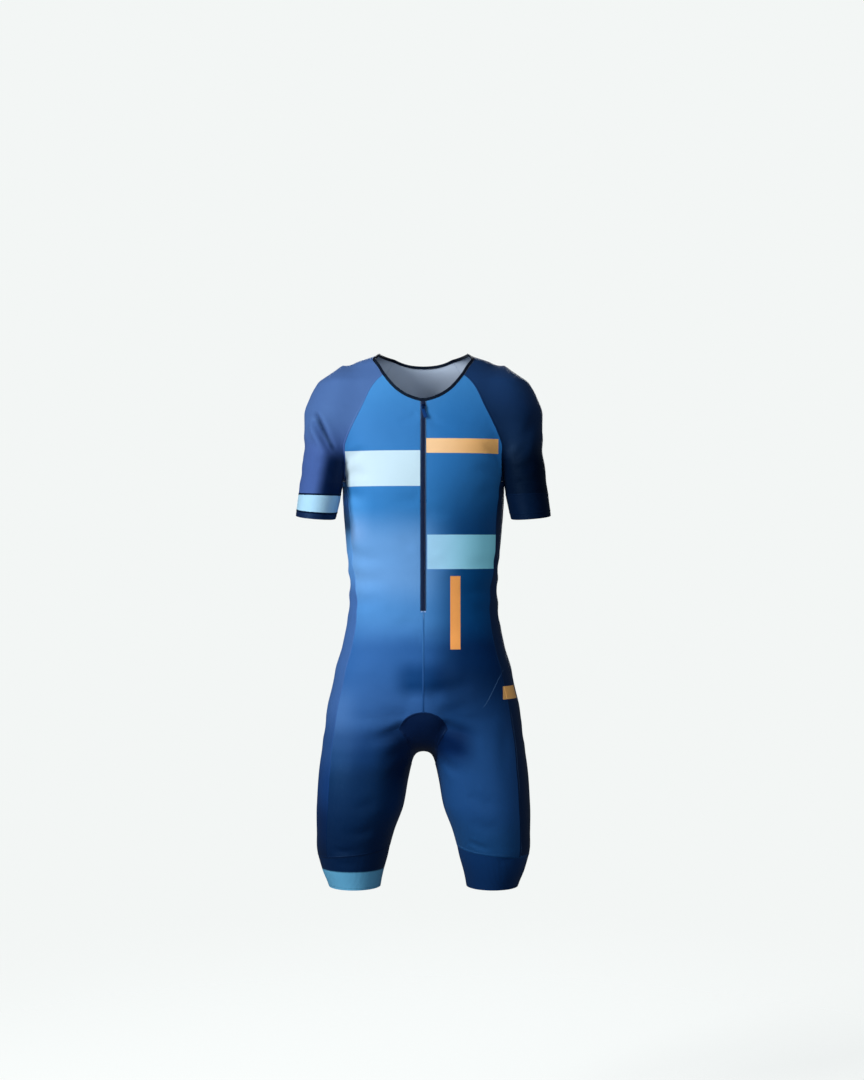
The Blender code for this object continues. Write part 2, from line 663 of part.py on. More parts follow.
def half_net():
    """The wearer's left half of the suit."""
    net = Net()
    seams = seam_lines()
    gusset = gusset_edges()
    inner = inner_borders(gusset)
    corner = CHEST_ROWS
    total = len(inner["front"]) - 1

    # Points that several pieces share
    raglan_front = net.add(seams["raglan_front"])
    raglan_back = net.add(seams["raglan_back"][:-1])
    raglan_back = np.append(raglan_back, raglan_front[-1])
    front_seam = side_seam(seams["raglan_front"][corner], "front_angle")
    back_seam = side_seam(seams["raglan_back"][corner], "back_angle")
    side_front = np.append(raglan_front[corner], net.add(front_seam[1:]))
    side_back = np.append(raglan_back[corner], net.add(back_seam[1:]))
    inner_front = net.add(inner["front"])
    crotch_row = total - INSEAM_ROWS
    inner_back = np.append(net.add(inner["back"][:crotch_row]), inner_front[crotch_row:])
    zip_middle = net.add(inner["zip_middle"])
    neck = neck_edges(seams["raglan_front"][0], seams["raglan_back"][0])
    neck_front = np.concatenate([inner_front[:1], net.add(neck["front"][1:-1]), raglan_front[:1]])
    neck_back = np.concatenate([inner_back[:1], net.add(neck["back"][1:-1]), raglan_back[:1]])
    neck_sleeve = np.concatenate([raglan_front[:1], net.add(neck["sleeve"][1:-1]), raglan_back[:1]])

    # Front and back, each filled in one go from the neck to the leg band
    outer_front = np.concatenate([raglan_front[:corner], side_front])
    outer_back = np.concatenate([raglan_back[:corner], side_back])
    band = {}
    for face, name, top, left, right in (
        (FRONT, "front", neck_front, inner_front, outer_front),
        (BACK, "back", neck_back, inner_back, outer_back),
    ):
        ends = body_chart(net.where([left[-1], right[-1]]), face)
        ends[0, 0] = face * math.pi
        steps = np.linspace(0.0, 1.0, COLUMNS + 1)[:, None]
        bottom_chart = ends[0] * (1 - steps) + ends[1] * steps
        bottom_points = body_points(*bottom_chart.T)
        bottom = np.concatenate([left[-1:], net.add(bottom_points[1:-1]), right[-1:]])
        numbers = panel(net, "", (top, bottom, left, right),
                        lambda points, side=face: body_chart(points, side), body_points)
        if face == FRONT:
            net.quads("front_left", numbers)
        else:
            net.quads("back", numbers[:WAIST_ROW + 1], outward=False)
            net.quads("seat_left", numbers[WAIST_ROW:], outward=False)
        band[name] = bottom

    # The zip's tape, and the small corner of the front below its end
    zip_edge = inner_front[:ZIP_ROWS + 1]
    net.quads("zip_tape_left", np.stack([zip_middle, zip_edge], axis=1))
    net.face("front_left", [zip_middle[-1], inner_front[ZIP_ROWS + 1], zip_edge[-1]])

    # The side panel hangs from the bottom of the armhole
    side_top = np.concatenate([raglan_front[corner:], raglan_back[corner:-1][::-1]])
    angles = body_chart(net.where([side_front[-1], side_back[-1]]), 1)[:, 0] * (-1, 1)
    across = np.linspace(angles[0], angles[1], 2 * SIDE_TOP + 1)
    side_bottom_points = body_points(across, np.full(len(across), BAND_OUTER_Z))
    side_bottom = np.concatenate([side_front[-1:], net.add(side_bottom_points[1:-1]), side_back[-1:]])
    lines = (side_top, side_bottom, side_front, side_back)
    panel(net, "side_left", lines, side_chart, body_points)

    sleeve(net, raglan_front, raglan_back, neck_sleeve)
    leg_band(net, np.concatenate([band["front"], side_bottom[1:], band["back"][-2::-1]]))
    gusset_half(net, inner_front, inner_back)
    neck_line = np.concatenate([zip_middle[:1], neck_front, neck_sleeve[1:], neck_back[-2::-1]])
    binding(net, neck_line)
    return net


def side_chart(points):
    """The side panel's chart: the angle round the body, front negative and back positive."""
    angle = np.arctan2(points[..., 1], points[..., 0] - ray_centre(points[..., 2]))
    return np.stack([angle, points[..., 2]], axis=-1)


def sleeve(net, raglan_front, raglan_back, neck_sleeve):
    """The sleeve from the neck to its band, and the band and edge below, as rings round the arm."""
    front = sleeve_chart(net.where(raglan_front), FRONT)
    back = sleeve_chart(net.where(raglan_back), BACK)
    front[-1], back[-1] = (1.0, -math.pi), (1.0, math.pi)
    neck = net.where(neck_sleeve)
    top = sleeve_chart(neck, BACK)
    top[:, 1] = np.copysign(top[:, 1], neck[:, 1])
    top[0], top[-1] = front[0], back[0]
    half = SLEEVE_COLUMNS // 2
    t = np.linspace(0.0, 1.0, SLEEVE_COLUMNS + 1)
    bottom = np.stack([np.ones_like(t), (2 * t - 1) * math.pi], axis=-1)
    values = fill(top, bottom, front, back)
    even = np.linspace(top[half, 0], 1.0, RAGLAN_ROWS + 1)[:, None]
    keep = np.abs(2 * t - 1)[None, :] ** 2.0
    values[..., 0] = even + (values[..., 0] - even) * keep
    points = sleeve_points(values[..., 0], values[..., 1])
    numbers = np.full(points.shape[:2], -1)
    numbers[0], numbers[:, 0], numbers[:, -1] = neck_sleeve, raglan_front, raglan_back
    inside = numbers < 0
    numbers[inside] = net.add(points[inside])
    net.quads("sleeve_left", numbers)
    ring = numbers[-1]
    for piece, start, end, rows in (
        ("sleeve_left", 1.0, SLEEVE_BAND_V, 1),
        ("sleeve_band_left", SLEEVE_BAND_V, SLEEVE_EDGE_V, 2),
        ("sleeve_hem_left", SLEEVE_EDGE_V, 2.0, 1),
    ):
        for v in np.linspace(start, end, rows + 1)[1:]:
            angle = (2 * t[:-1] - 1) * math.pi
            dip = -SLEEVE_HEM_DIP * np.sin(angle) * ease(v, 1.0, 2.0)
            points = sleeve_points(v + dip, angle)
            below = net.add(points)
            below = np.append(below, below[0])
            net.quads(piece, np.stack([ring, below]))
            ring = below


def leg_band(net, ring):
    """The band at the end of the leg, from the seam ring down to the hem."""
    upper = net.where(ring)
    angle = np.arctan2(upper[:, 1], upper[:, 0] - ray_centre(upper[:, 2]))
    angle[0], angle[-1] = -math.pi, math.pi
    for row in range(1, LEG_BAND_ROWS + 1):
        share = row / LEG_BAND_ROWS
        z = upper[:, 2] + (LEG_HEM_Z - upper[:, 2]) * share
        below = net.add(body_points(angle[:-1], z[:-1]))
        below = np.append(below, below[0])
        net.quads("leg_band_left", np.stack([ring, below]))
        ring = below


def gusset_half(net, inner_front, inner_back):
    """Half of the crotch gusset, from the middle line out to its edge on the inner thigh."""
    first = ZIP_ROWS + CENTRE_ROWS
    corner = first + ARCH_ROWS
    meeting = corner + GUSSET_ROWS
    top = inner_front[first:corner + 1]
    bottom = inner_back[first:corner + 1]
    right = np.concatenate([inner_front[corner:meeting + 1], inner_back[corner:meeting][::-1]])
    ends = gusset_chart(net.where([top[0], bottom[0]]))
    steps = np.linspace(0.0, 1.0, 2 * GUSSET_ROWS + 1)[:, None]
    middle_chart = ends[0] * (1 - steps) + ends[1] * steps
    middle_points = gusset_points(middle_chart[:, 0], middle_chart[:, 1])
    left = np.concatenate([top[:1], net.add(middle_points[1:-1]), bottom[:1]])
    panel(net, "crotch_gusset", (top, bottom, left, right), gusset_chart, gusset_points)


def binding(net, neck_line):
    """The neck binding: a strip that goes on from the neck edge, away from the cloth."""
    edge = net.where(neck_line)
    inward = {}
    for corners in net.faces:
        middle = np.mean([net.points[i] for i in corners], axis=0)
        for i in corners:
            inward.setdefault(i, []).append(middle)
    below = np.array([np.mean(inward[int(i)], axis=0) for i in neck_line])
    along = np.gradient(edge, axis=0)
    along[0], along[-1] = (1.0, 0.0, 0.0), (-1.0, 0.0, 0.0)
    along /= np.linalg.norm(along, axis=1, keepdims=True)
    away = edge - below
    away -= along * (away * along).sum(axis=1, keepdims=True)
    away /= np.linalg.norm(away, axis=1, keepdims=True)
    rim = net.add(edge + away * BINDING_HEIGHT)
    net.quads("neck_binding", np.stack([rim, neck_line]))


# ---------------------------------------------------------------- folds and walls


def point_normals(net):
    """The outward normal at each point of the net, from the faces round it."""
    points = np.array(net.points)
    normals = np.zeros_like(points)
    for corners in net.faces:
        place = points[corners]
        across = place[2] - place[0]
        along = place[-1] - place[1]
        normal = np.cross(across, along)
        for i in corners:
            normals[i] += normal
    return normals / np.linalg.norm(normals, axis=1, keepdims=True)


def fold(net):
    """Presses the largest folds into the net, on both sides of the body."""
    points = np.array(net.points)
    normals = point_normals(net)
    depth = np.zeros(len(points))
    for start_x, start_z, end_x, end_z, face, deep, width in FOLDS:
        start, end = np.array((start_x, start_z)), np.array((end_x, end_z))
        seen = np.stack([np.abs(points[:, 0]), points[:, 2]], axis=-1)
        along = end - start
        share = np.clip(((seen - start) @ along) / (along @ along), 0.0, 1.0)
        away = np.linalg.norm(seen - start - share[:, None] * along, axis=1)
        facing = ease(face * normals[:, 1], 0.0, 0.5)
        depth += deep * np.exp(-((away / width) ** 2)) * (1 - FOLD_FADE * share) * facing
    net.points = list(points - normals * depth[:, None])


def split_short(net):
    """Turns each quad's corners so that it splits along its shorter diagonal."""
    for number, corners in enumerate(net.faces):
        if len(corners) == 4:
            place = [net.points[i] for i in corners]
            if np.linalg.norm(place[0] - place[2]) > np.linalg.norm(place[1] - place[3]):
                net.faces[number] = corners[1:] + corners[:1]


def wall(net, piece, normals, thickness, proud=0.0):
    """One piece's wall, as a mesh: its faces, the same faces thickness deeper, and the cut edges."""
    faces = [corners for corners, name in zip(net.faces, net.pieces) if name == piece]
    edges = {}
    for corners in faces:
        middle = np.mean([net.points[i] for i in corners], axis=0)
        for a, b in zip(corners, corners[1:] + corners[:1]):
            edges[(a, b)] = middle
    cut = {edge: middle for edge, middle in edges.items() if edge[::-1] not in edges}
    pulls = {}
    for (a, b), middle in cut.items():
        along = net.points[b] - net.points[a]
        for i in (a, b):
            inward = np.cross(normals[i], along)
            pulls.setdefault(i, []).append(inward / np.linalg.norm(inward))
    mesh = bmesh.new()
    outer, inner = {}, {}
    for i in sorted({i for corners in faces for i in corners}):
        place = np.array(net.points[i])
        if i in pulls:
            total = np.sum(pulls[i], axis=0)
            pull = len(pulls[i]) / max(total @ total, POINT_PULL_LIMIT)
            place = place + total * pull * SEAM_GAP / 2
        outer[i] = mesh.verts.new(place + normals[i] * proud - ORIGIN)
        inner[i] = mesh.verts.new(place + normals[i] * (proud - thickness) - ORIGIN)
    for corners in faces:
        mesh.faces.new([outer[i] for i in corners])
        mesh.faces.new([inner[i] for i in turned_over(corners)])
    for a, b in cut:
        rim = [outer[b], outer[a], inner[a], inner[b]]
        mesh.faces.new(rim if b > a else rim[1:] + rim[:1])
    return mesh


# ---------------------------------------------------------------- objects


def material(name, colour, roughness, metallic):
    """A Principled material of its own for one object."""
    made = bpy.data.materials.new(name)
    made.use_nodes = True
    shader = made.node_tree.nodes["Principled BSDF"]
    shader.inputs["Base Color"].default_value = colour
    shader.inputs["Roughness"].default_value = roughness
    shader.inputs["Metallic"].default_value = metallic
    return made


def add_object(collection, name, mesh, colour, roughness=FABRIC[0], metallic=FABRIC[1]):
    """A bmesh as a named object with its own material."""
    data = bpy.data.meshes.new(name)
    mesh.to_mesh(data)
    mesh.free()
    made = bpy.data.objects.new(name, data)
    data.materials.append(material(name, colour, roughness, metallic))
    collection.objects.link(made)
    return made


# Name, and the colours of the wearer's right and left piece
PAIRS = (
    ("front", BLUE, BLUE),
    ("seat", NAVY, NAVY),
    ("side", DEEP_NAVY, DEEP_NAVY),
    ("sleeve", NAVY, NAVY),
    ("sleeve_band", LIGHT_BLUE, NAVY),
    ("sleeve_hem", DEEP_NAVY, DEEP_NAVY),
    ("leg_band", LIGHT_BLUE, NAVY),
    ("zip_tape", BLACK, BLACK),
)
MIDDLE_PIECES = (
    ("back", BLUE),
    ("crotch_gusset", DEEP_NAVY),
)


def cloth_pieces(collection, net):
    """Every cut piece of cloth, as its own object."""
    normals = point_normals(net)
    pieces = [(name, colour, CLOTH, 0.0) for name, colour in MIDDLE_PIECES]
    for name, right, left in PAIRS:
        pieces.append((f"{name}_right", right, CLOTH, 0.0))
        pieces.append((f"{name}_left", left, CLOTH, 0.0))
    pieces.append(("neck_binding", BLACK, BINDING_THICKNESS, BINDING_PROUD))
    for name, colour, thickness, proud in pieces:
        mesh = wall(net, name, normals, thickness, proud)
        made = add_object(collection, name, mesh, colour)
        made.data.shade_smooth()
        made.data.set_sharp_from_angle(angle=SHARP_ANGLE)


def slider_frame():
    """Where the slider lies: its own x across, y up along the zip, z off the cloth."""
    heights = (SLIDER_Z - SLIDER_SIZE[1] / 2, SLIDER_Z, SLIDER_Z + SLIDER_SIZE[1] / 2)
    low, middle, high = (Vector(point) for point in facing_points(np.zeros(3), heights, FRONT))
    up = (high - low).normalized()
    off = Vector((1.0, 0.0, 0.0)).cross(up).normalized()
    frame = Matrix((Vector((1.0, 0.0, 0.0)), up, off)).transposed().to_4x4()
    frame.translation = (low + high + middle) / 3 - ORIGIN
    return frame


def block(size, centre):
    """A block, as a bmesh."""
    mesh = bmesh.new()
    bmesh.ops.create_cube(mesh, size=1.0)
    bmesh.ops.scale(mesh, vec=size, verts=mesh.verts)
    bmesh.ops.translate(mesh, vec=centre, verts=mesh.verts)
    return mesh


def round_edges(made, width):
    """Rounds an object's sharp edges."""
    bevel = made.modifiers.new("rounded_edges", "BEVEL")
    bevel.width = width
    bevel.segments = 2
    bevel.limit_method = "ANGLE"


def zip_slider(collection, cutters, frame):
    """The slider: a body on the zip with a bridge that holds the pull. Gives the pull's axis height."""
    height = SLIDER_SIZE[2]
    body = add_object(collection, "zip_slider", block(SLIDER_SIZE, (0, 0, SLIDER_CLEARANCE + height / 2)),
                      DEEP_NAVY, *PAINTED_METAL)
    body.matrix_world = frame
    round_edges(body, SLIDER_ROUNDING)
    top = SLIDER_CLEARANCE + height
    bridge_mesh = block(BRIDGE_SIZE, (0, 0, top - BRIDGE_SUNK + BRIDGE_SIZE[2] / 2))
    bridge = add_object(cutters, "bridge_block", bridge_mesh, DEEP_NAVY, *PAINTED_METAL)
    opening_mesh = block((CUTTER_WIDTH, *BRIDGE_OPENING), (0, 0, top + BRIDGE_OPENING[1] / 2))
    opening = add_object(cutters, "bridge_opening", opening_mesh, DEEP_NAVY)
    for helper in (bridge, opening):
        helper.matrix_world = frame
        helper.hide_render = True
        helper.display_type = "WIRE"
    cut = bridge.modifiers.new("opening", "BOOLEAN")
    cut.operation = "DIFFERENCE"
    cut.object = opening
    join = body.modifiers.new("bridge", "BOOLEAN")
    join.operation = "UNION"
    join.object = bridge
    return top + BRIDGE_OPENING[1] / 2


def pull_outline():
    """The pull's outline in its own plane: a straight frame at the bridge, then a leaning tongue."""
    frame_end = -(PULL_OPENING[1] + PULL_BAR * 1.5)
    lean = Vector((math.sin(PULL_LEAN), -math.cos(PULL_LEAN)))
    side = Vector((math.cos(PULL_LEAN), math.sin(PULL_LEAN)))
    neck = Vector((0.0, frame_end))
    end = neck + lean * (PULL_LENGTH + frame_end)
    return [
        Vector((-PULL_FRAME_HALF, PULL_BAR / 2)),
        Vector((-PULL_FRAME_HALF, frame_end)),
        end - side * PULL_END_HALF,
        end + side * PULL_END_HALF,
        Vector((PULL_FRAME_HALF, frame_end)),
        Vector((PULL_FRAME_HALF, PULL_BAR / 2)),
    ]


def zip_pull(collection, cutters, frame, axis_height):
    """The pull tab: a flat plate whose top bar lies in the slider's bridge, its origin on that bar's axis."""
    mesh = bmesh.new()
    corners = [mesh.verts.new((point.x, point.y, -PULL_BAR / 2)) for point in pull_outline()]
    plate = mesh.faces.new(corners)
    raised = bmesh.ops.extrude_face_region(mesh, geom=[plate])
    moved = [item for item in raised["geom"] if isinstance(item, bmesh.types.BMVert)]
    bmesh.ops.translate(mesh, vec=(0, 0, PULL_BAR), verts=moved)
    bmesh.ops.recalc_face_normals(mesh, faces=mesh.faces)
    pull = add_object(collection, "zip_pull", mesh, DEEP_NAVY, *PLASTIC)
    pivot = frame @ Matrix.Translation((0, 0, axis_height))
    pull.matrix_world = pivot
    hole_mesh = block((*PULL_OPENING, CUTTER_WIDTH), (0, -(PULL_BAR + PULL_OPENING[1]) / 2, 0))
    hole = add_object(cutters, "pull_opening", hole_mesh, DEEP_NAVY)
    hole.matrix_world = pivot
    hole.hide_render = True
    hole.display_type = "WIRE"
    cut = pull.modifiers.new("opening", "BOOLEAN")
    cut.operation = "DIFFERENCE"
    cut.object = hole
    round_edges(pull, PULL_ROUNDING)


def main():
    for old in list(bpy.data.objects):
        bpy.data.objects.remove(old, do_unlink=True)
    collection = bpy.data.collections.new(NAME)
    cutters = bpy.data.collections.new("cutters")
    for made in (collection, cutters):
        bpy.context.scene.collection.children.link(made)
    net = half_net().mirrored()
    fold(net)
    split_short(net)
    cloth_pieces(collection, net)
    frame = slider_frame()
    axis_height = zip_slider(collection, cutters, frame)
    zip_pull(collection, cutters, frame, axis_height)


main()
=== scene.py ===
"""Looks of the triathlon suit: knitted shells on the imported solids' form, with creases, bands of colour,
stitched seams, gripper bands, a coil zip, soft light and the camera.

The form, the seams and the nets are those of the part's source, with four times as many quads each way.
Metres, +Z up. The front faces -Y and the wearer's left is +X. Tables give heights and sideways places in
the frame's own coordinates; depths are about the suit's middle plane, and ORIGIN moves them to the frame.
"""

import math

import bmesh
import bpy
import numpy as np
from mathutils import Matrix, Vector
from mathutils.bvhtree import BVHTree


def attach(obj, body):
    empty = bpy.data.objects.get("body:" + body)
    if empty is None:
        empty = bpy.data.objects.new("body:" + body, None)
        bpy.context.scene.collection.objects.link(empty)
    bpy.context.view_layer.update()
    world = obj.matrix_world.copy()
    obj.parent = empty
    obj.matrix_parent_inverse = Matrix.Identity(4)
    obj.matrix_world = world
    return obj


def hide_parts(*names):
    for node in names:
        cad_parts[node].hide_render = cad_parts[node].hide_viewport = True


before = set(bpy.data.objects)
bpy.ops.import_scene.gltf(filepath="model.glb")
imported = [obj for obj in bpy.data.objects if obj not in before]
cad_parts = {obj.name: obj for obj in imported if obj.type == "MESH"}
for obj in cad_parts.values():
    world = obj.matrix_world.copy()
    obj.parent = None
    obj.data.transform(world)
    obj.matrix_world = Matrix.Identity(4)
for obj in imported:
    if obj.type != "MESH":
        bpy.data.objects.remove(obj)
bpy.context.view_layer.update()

BODY = "suit"

# Cloth, in metres
CLOTH = 0.0015
KNIT = 0.0009
BINDING_THICKNESS = 0.0026
BINDING_HEIGHT = 0.0055
BINDING_PROUD = 0.0006
SEAM_GAP = 0.0003
NAPE_DEPTH = 0.070
ORIGIN = np.array((0.0, NAPE_DEPTH - CLOTH, 0.0))

# Heights of the main points
ARMPIT_Z = -0.2095
ZIP_TOP_Z = -0.0630
ZIP_BOTTOM_Z = -0.436
ARCH_TOP_FRONT_Z = -0.616
ARCH_TOP_BACK_Z = -0.622
CROTCH_Z = -0.718
BAND_INNER_Z = -0.862
BAND_OUTER_Z = -0.880
LEG_HEM_Z = -0.938
ZIP_HALF_WIDTH = 0.0053

# Horizontal sections of one side of the body, from the neck to the end of the leg. Each is an oval
# about (centre_x, 0): half_width to the side, front and back depth, and how square its corners are.
# Below the waist the two sides' centres part, and the ovals become the legs.
BODY_COLUMNS = ("z", "centre_x", "half_width", "front", "back", "squareness")
BODY_SECTIONS = (
    (0.060, 0.000, 0.066, 0.046, 0.058, 2.0),
    (0.040, 0.000, 0.073, 0.050, 0.061, 2.0),
    (0.027, 0.000, 0.0835, 0.056, 0.064, 2.0),
    (0.012, 0.000, 0.1235, 0.062, 0.067, 2.0),
    (0.000, 0.000, 0.141, 0.067, 0.070, 2.0),
    (-0.012, 0.000, 0.165, 0.072, 0.075, 2.0),
    (-0.025, 0.000, 0.186, 0.077, 0.081, 2.0),
    (-0.045, 0.000, 0.191, 0.084, 0.089, 2.0),
    (-0.070, 0.000, 0.193, 0.092, 0.097, 2.05),
    (-0.100, 0.000, 0.182, 0.101, 0.104, 2.15),
    (-0.130, 0.000, 0.167, 0.108, 0.109, 2.25),
    (-0.160, 0.000, 0.153, 0.113, 0.110, 2.3),
    (-0.200, 0.000, 0.148, 0.115, 0.108, 2.3),
    (-0.250, 0.000, 0.1455, 0.112, 0.101, 2.3),
    (-0.310, 0.000, 0.141, 0.105, 0.092, 2.25),
    (-0.350, 0.000, 0.137, 0.101, 0.087, 2.2),
    (-0.400, 0.000, 0.134, 0.098, 0.086, 2.2),
    (-0.450, 0.000, 0.1375, 0.098, 0.092, 2.2),
    (-0.500, 0.000, 0.147, 0.101, 0.105, 2.25),
    (-0.550, 0.004, 0.157, 0.103, 0.117, 2.3),
    (-0.600, 0.024, 0.148, 0.101, 0.124, 2.3),
    (-0.640, 0.060, 0.118, 0.096, 0.122, 2.25),
    (-0.670, 0.086, 0.096, 0.092, 0.115, 2.2),
    (-0.700, 0.101, 0.085, 0.090, 0.107, 2.15),
    (-0.740, 0.109, 0.082, 0.089, 0.099, 2.1),
    (-0.790, 0.115, 0.079, 0.086, 0.092, 2.1),
    (-0.840, 0.124, 0.070, 0.078, 0.082, 2.05),
    (-0.875, 0.128, 0.065, 0.071, 0.073, 2.0),
    (-0.905, 0.128, 0.057, 0.066, 0.067, 2.0),
    (-0.938, 0.125, 0.047, 0.060, 0.061, 2.0),
    (-0.960, 0.124, 0.043, 0.058, 0.059, 2.0),
)

# Horizontal sections of a sleeve: ovals about (centre_x, centre_y).
ARM_COLUMNS = ("z", "centre_x", "centre_y", "half_width", "half_depth")
ARM_SECTIONS = (
    (-0.020, 0.148, 0.000, 0.017, 0.025),
    (-0.050, 0.1535, -0.002, 0.038, 0.045),
    (-0.085, 0.1645, -0.008, 0.0465, 0.053),
    (-0.120, 0.1715, -0.016, 0.0445, 0.055),
    (-0.155, 0.1755, -0.024, 0.0405, 0.055),
    (-0.185, 0.1800, -0.031, 0.0400, 0.054),
    (-0.220, 0.1850, -0.040, 0.0385, 0.052),
    (-0.250, 0.1895, -0.048, 0.0375, 0.050),
    (-0.280, 0.1945, -0.056, 0.0355, 0.048),
)

# The saddle between the legs, over the seat pad: a rounded block.
SADDLE_CENTRE = (0.0, 0.006, -0.640)
SADDLE_HALF = (0.036, 0.092, 0.0495)
SADDLE_SQUARENESS = 2.6
SADDLE_BLEND = 0.016
LEG_BLEND = 0.030
RAYS_PART_Z = -0.30
LEG_BLEND_PER_CENTRE = 0.6
SHOULDER_BLEND = 0.040
SHOULDER_BLEND_Z = -0.060
ARMPIT_BLEND = 0.004

# The edge of the neck opening below the binding: half of it, as (x, z) seen from the front and from
# behind, and its height on the ridge of the shoulder between them.
NECK_FRONT = (
    (0.0053, -0.0630),
    (0.0180, -0.0600),
    (0.0340, -0.0530),
    (0.0500, -0.0420),
    (0.0620, -0.0290),
    (0.0735, -0.0135),
)
NECK_RIDGE_Z = 0.0265
NECK_BACK = (
    (0.0000, 0.0062),
    (0.0130, 0.0066),
    (0.0270, 0.0082),
    (0.0420, 0.0122),
    (0.0550, 0.0180),
)

# The raglan seams, as (x, z) seen from the front and from behind, from the neck to near the armpit.
RAGLAN_FRONT = (
    (0.0735, -0.0135),
    (0.0865, -0.0235),
    (0.0975, -0.0400),
    (0.1080, -0.0660),
    (0.1215, -0.0920),
    (0.1350, -0.1200),
    (0.1420, -0.1400),
)
RAGLAN_BACK = (
    (0.0550, 0.0180),
    (0.0730, -0.0080),
    (0.0920, -0.0480),
    (0.1120, -0.0880),
    (0.1290, -0.1220),
    (0.1400, -0.1400),
)

# From there to the armpit the seam runs where sleeve and torso meet, found by looking round the torso.
VALLEY_TOP_Z = -0.150
VALLEY_ROWS = 8
VALLEY_ANGLES = (75.0, -5.0)
VALLEY_LOOKS = 321
VALLEY_FILL = 0.030
GRADIENT_STEP = 0.0001

# Where the side panel's two seams lie, as angles round the body from straight out to the side.
SIDE_COLUMNS = ("z", "front_angle", "back_angle")
SIDE_SEAMS = (
    (-0.160, -20.0, 22.0),
    (-0.250, -23.0, 30.0),
    (-0.346, -18.0, 32.0),
    (-0.440, -29.0, 33.0),
    (-0.510, -36.0, 33.0),
    (-0.580, -40.0, 32.0),
    (-0.640, -43.0, 33.0),
    (-0.700, -45.0, 36.0),
    (-0.790, -47.0, 38.0),
    (-0.880, -48.0, 38.0),
)
# The drop over which each seam settles from the armhole's corner into the table's angles
SIDE_SETTLE = 0.10

# The arch of the crotch gusset, half of it, as (x, z) seen from the front and from behind.
ARCH_FRONT = (
    (0.000, ARCH_TOP_FRONT_Z),
    (0.013, -0.6175),
    (0.026, -0.6230),
    (0.036, -0.6330),
    (0.041, -0.6480),
)
ARCH_BACK = (
    (0.000, ARCH_TOP_BACK_Z),
    (0.014, -0.6235),
    (0.028, -0.6290),
    (0.038, -0.6390),
    (0.043, -0.6540),
)
GUSSET_CENTRE_Z = -0.600

# Heights on the middle line of the row that meets the top of the side panel
CHEST_FRONT_Z = -0.225
CHEST_BACK_Z = -0.200

# How many quads each stretch takes
DENSITY = 4
COLUMNS = 9 * DENSITY
SLEEVE_COLUMNS = 14 * DENSITY
RAGLAN_ROWS = 14 * DENSITY
SIDE_TOP = 2 * DENSITY
CHEST_ROWS = RAGLAN_ROWS - SIDE_TOP
ZIP_ROWS = 22 * DENSITY
WAIST_ROW = 20 * DENSITY
CENTRE_ROWS = 9 * DENSITY
ARCH_ROWS = 4 * DENSITY
GUSSET_ROWS = 3 * DENSITY
INSEAM_ROWS = 10 * DENSITY
LEG_BAND_ROWS = 3 * DENSITY

# The smallest size that counts as more than none
TINY = 1e-6

# How the surface is found along a ray, and how a short table is rounded into a line
CAST_REACH = 0.26
CAST_STEPS = 90
CAST_HALVINGS = 26
LINE_STEPS = 60
LINE_SOFTENINGS = 40
RAGLAN_SEEN = 24

# A cut edge is drawn back by half the seam gap; where two edges meet in a point, by up to this much more.
POINT_PULL_LIMIT = 0.7

# The sleeve is a fan of planes that turn about the armpit from the neck to level, then move down.
FAN_PIVOT = (0.118, ARMPIT_Z)
FAN_START = math.radians(107.0)
FAN_NECK_REACH = 0.120
FAN_BACK_START = 0.2
SLEEVE_HEM_Z = -0.269
SLEEVE_HEM_TILT = math.radians(5.0)
SLEEVE_HEM_DIP = 0.07
SLEEVE_BAND_V = 1.31
SLEEVE_EDGE_V = 1.82

# The largest folds, as soft troughs between two points seen from the front:
# start x and z, end x and z, face, depth, half width. Each fades by a share towards its end.
FRONT = -1
BACK = 1
FOLD_FADE = 0.6
FOLD_FACING = 0.5
FOLDS = (
    (0.036, -0.646, 0.090, -0.662, FRONT, 0.0045, 0.013),
    (0.050, -0.630, 0.120, -0.628, FRONT, 0.0022, 0.012),
    (0.205, -0.090, 0.165, -0.150, FRONT, 0.0030, 0.010),
    (0.040, -0.660, 0.105, -0.690, BACK, 0.0045, 0.014),
    (0.050, -0.640, 0.110, -0.640, BACK, 0.0025, 0.012),
    (0.200, -0.100, 0.160, -0.155, BACK, 0.0030, 0.011),
    (0.030, -0.385, 0.110, -0.372, BACK, 0.0028, 0.016),
)

# Colours, linear
DEEP_NAVY = (0.002, 0.010, 0.048)
PALE = (0.540, 0.730, 0.840)
PALE_SHADE = (0.500, 0.650, 0.750)
LIGHT_BLUE = (0.330, 0.560, 0.740)
BLOCK_BLUE = (0.370, 0.680, 0.930)
# The light blue block's outer colour, brightened as painted light
BLOCK_PAINTED_LIGHT = (0.300, 0.840, 1.000)
BAND_BLUE = (0.105, 0.345, 0.560)
ORANGE = (1.000, 0.530, 0.170)
STRIPE_ORANGE = (1.000, 0.410, 0.100)
ORANGE_LIGHT = (0.920, 0.600, 0.320)
BLACK = (0.003, 0.004, 0.010)
WRONG_SIDE = (0.440, 0.530, 0.670)
SHEEN_TINT = (0.50, 0.75, 1.0)
GLOSS_TINT = (0.25, 0.55, 1.0)
TACK_COLOUR = (0.300, 0.480, 0.800)
# Navy darkened as painted shade, for the left sleeve's band and hem and the sleeves' band seams
SHADED_CUFF_NAVY = (0.001, 0.006, 0.024)
FAINT_THREAD = (0.080, 0.180, 0.360)
COIL_COLOUR = (0.004, 0.012, 0.050)
SLIDER_COLOUR = (0.004, 0.014, 0.060)
PULL_COLOUR = (0.003, 0.030, 0.140)

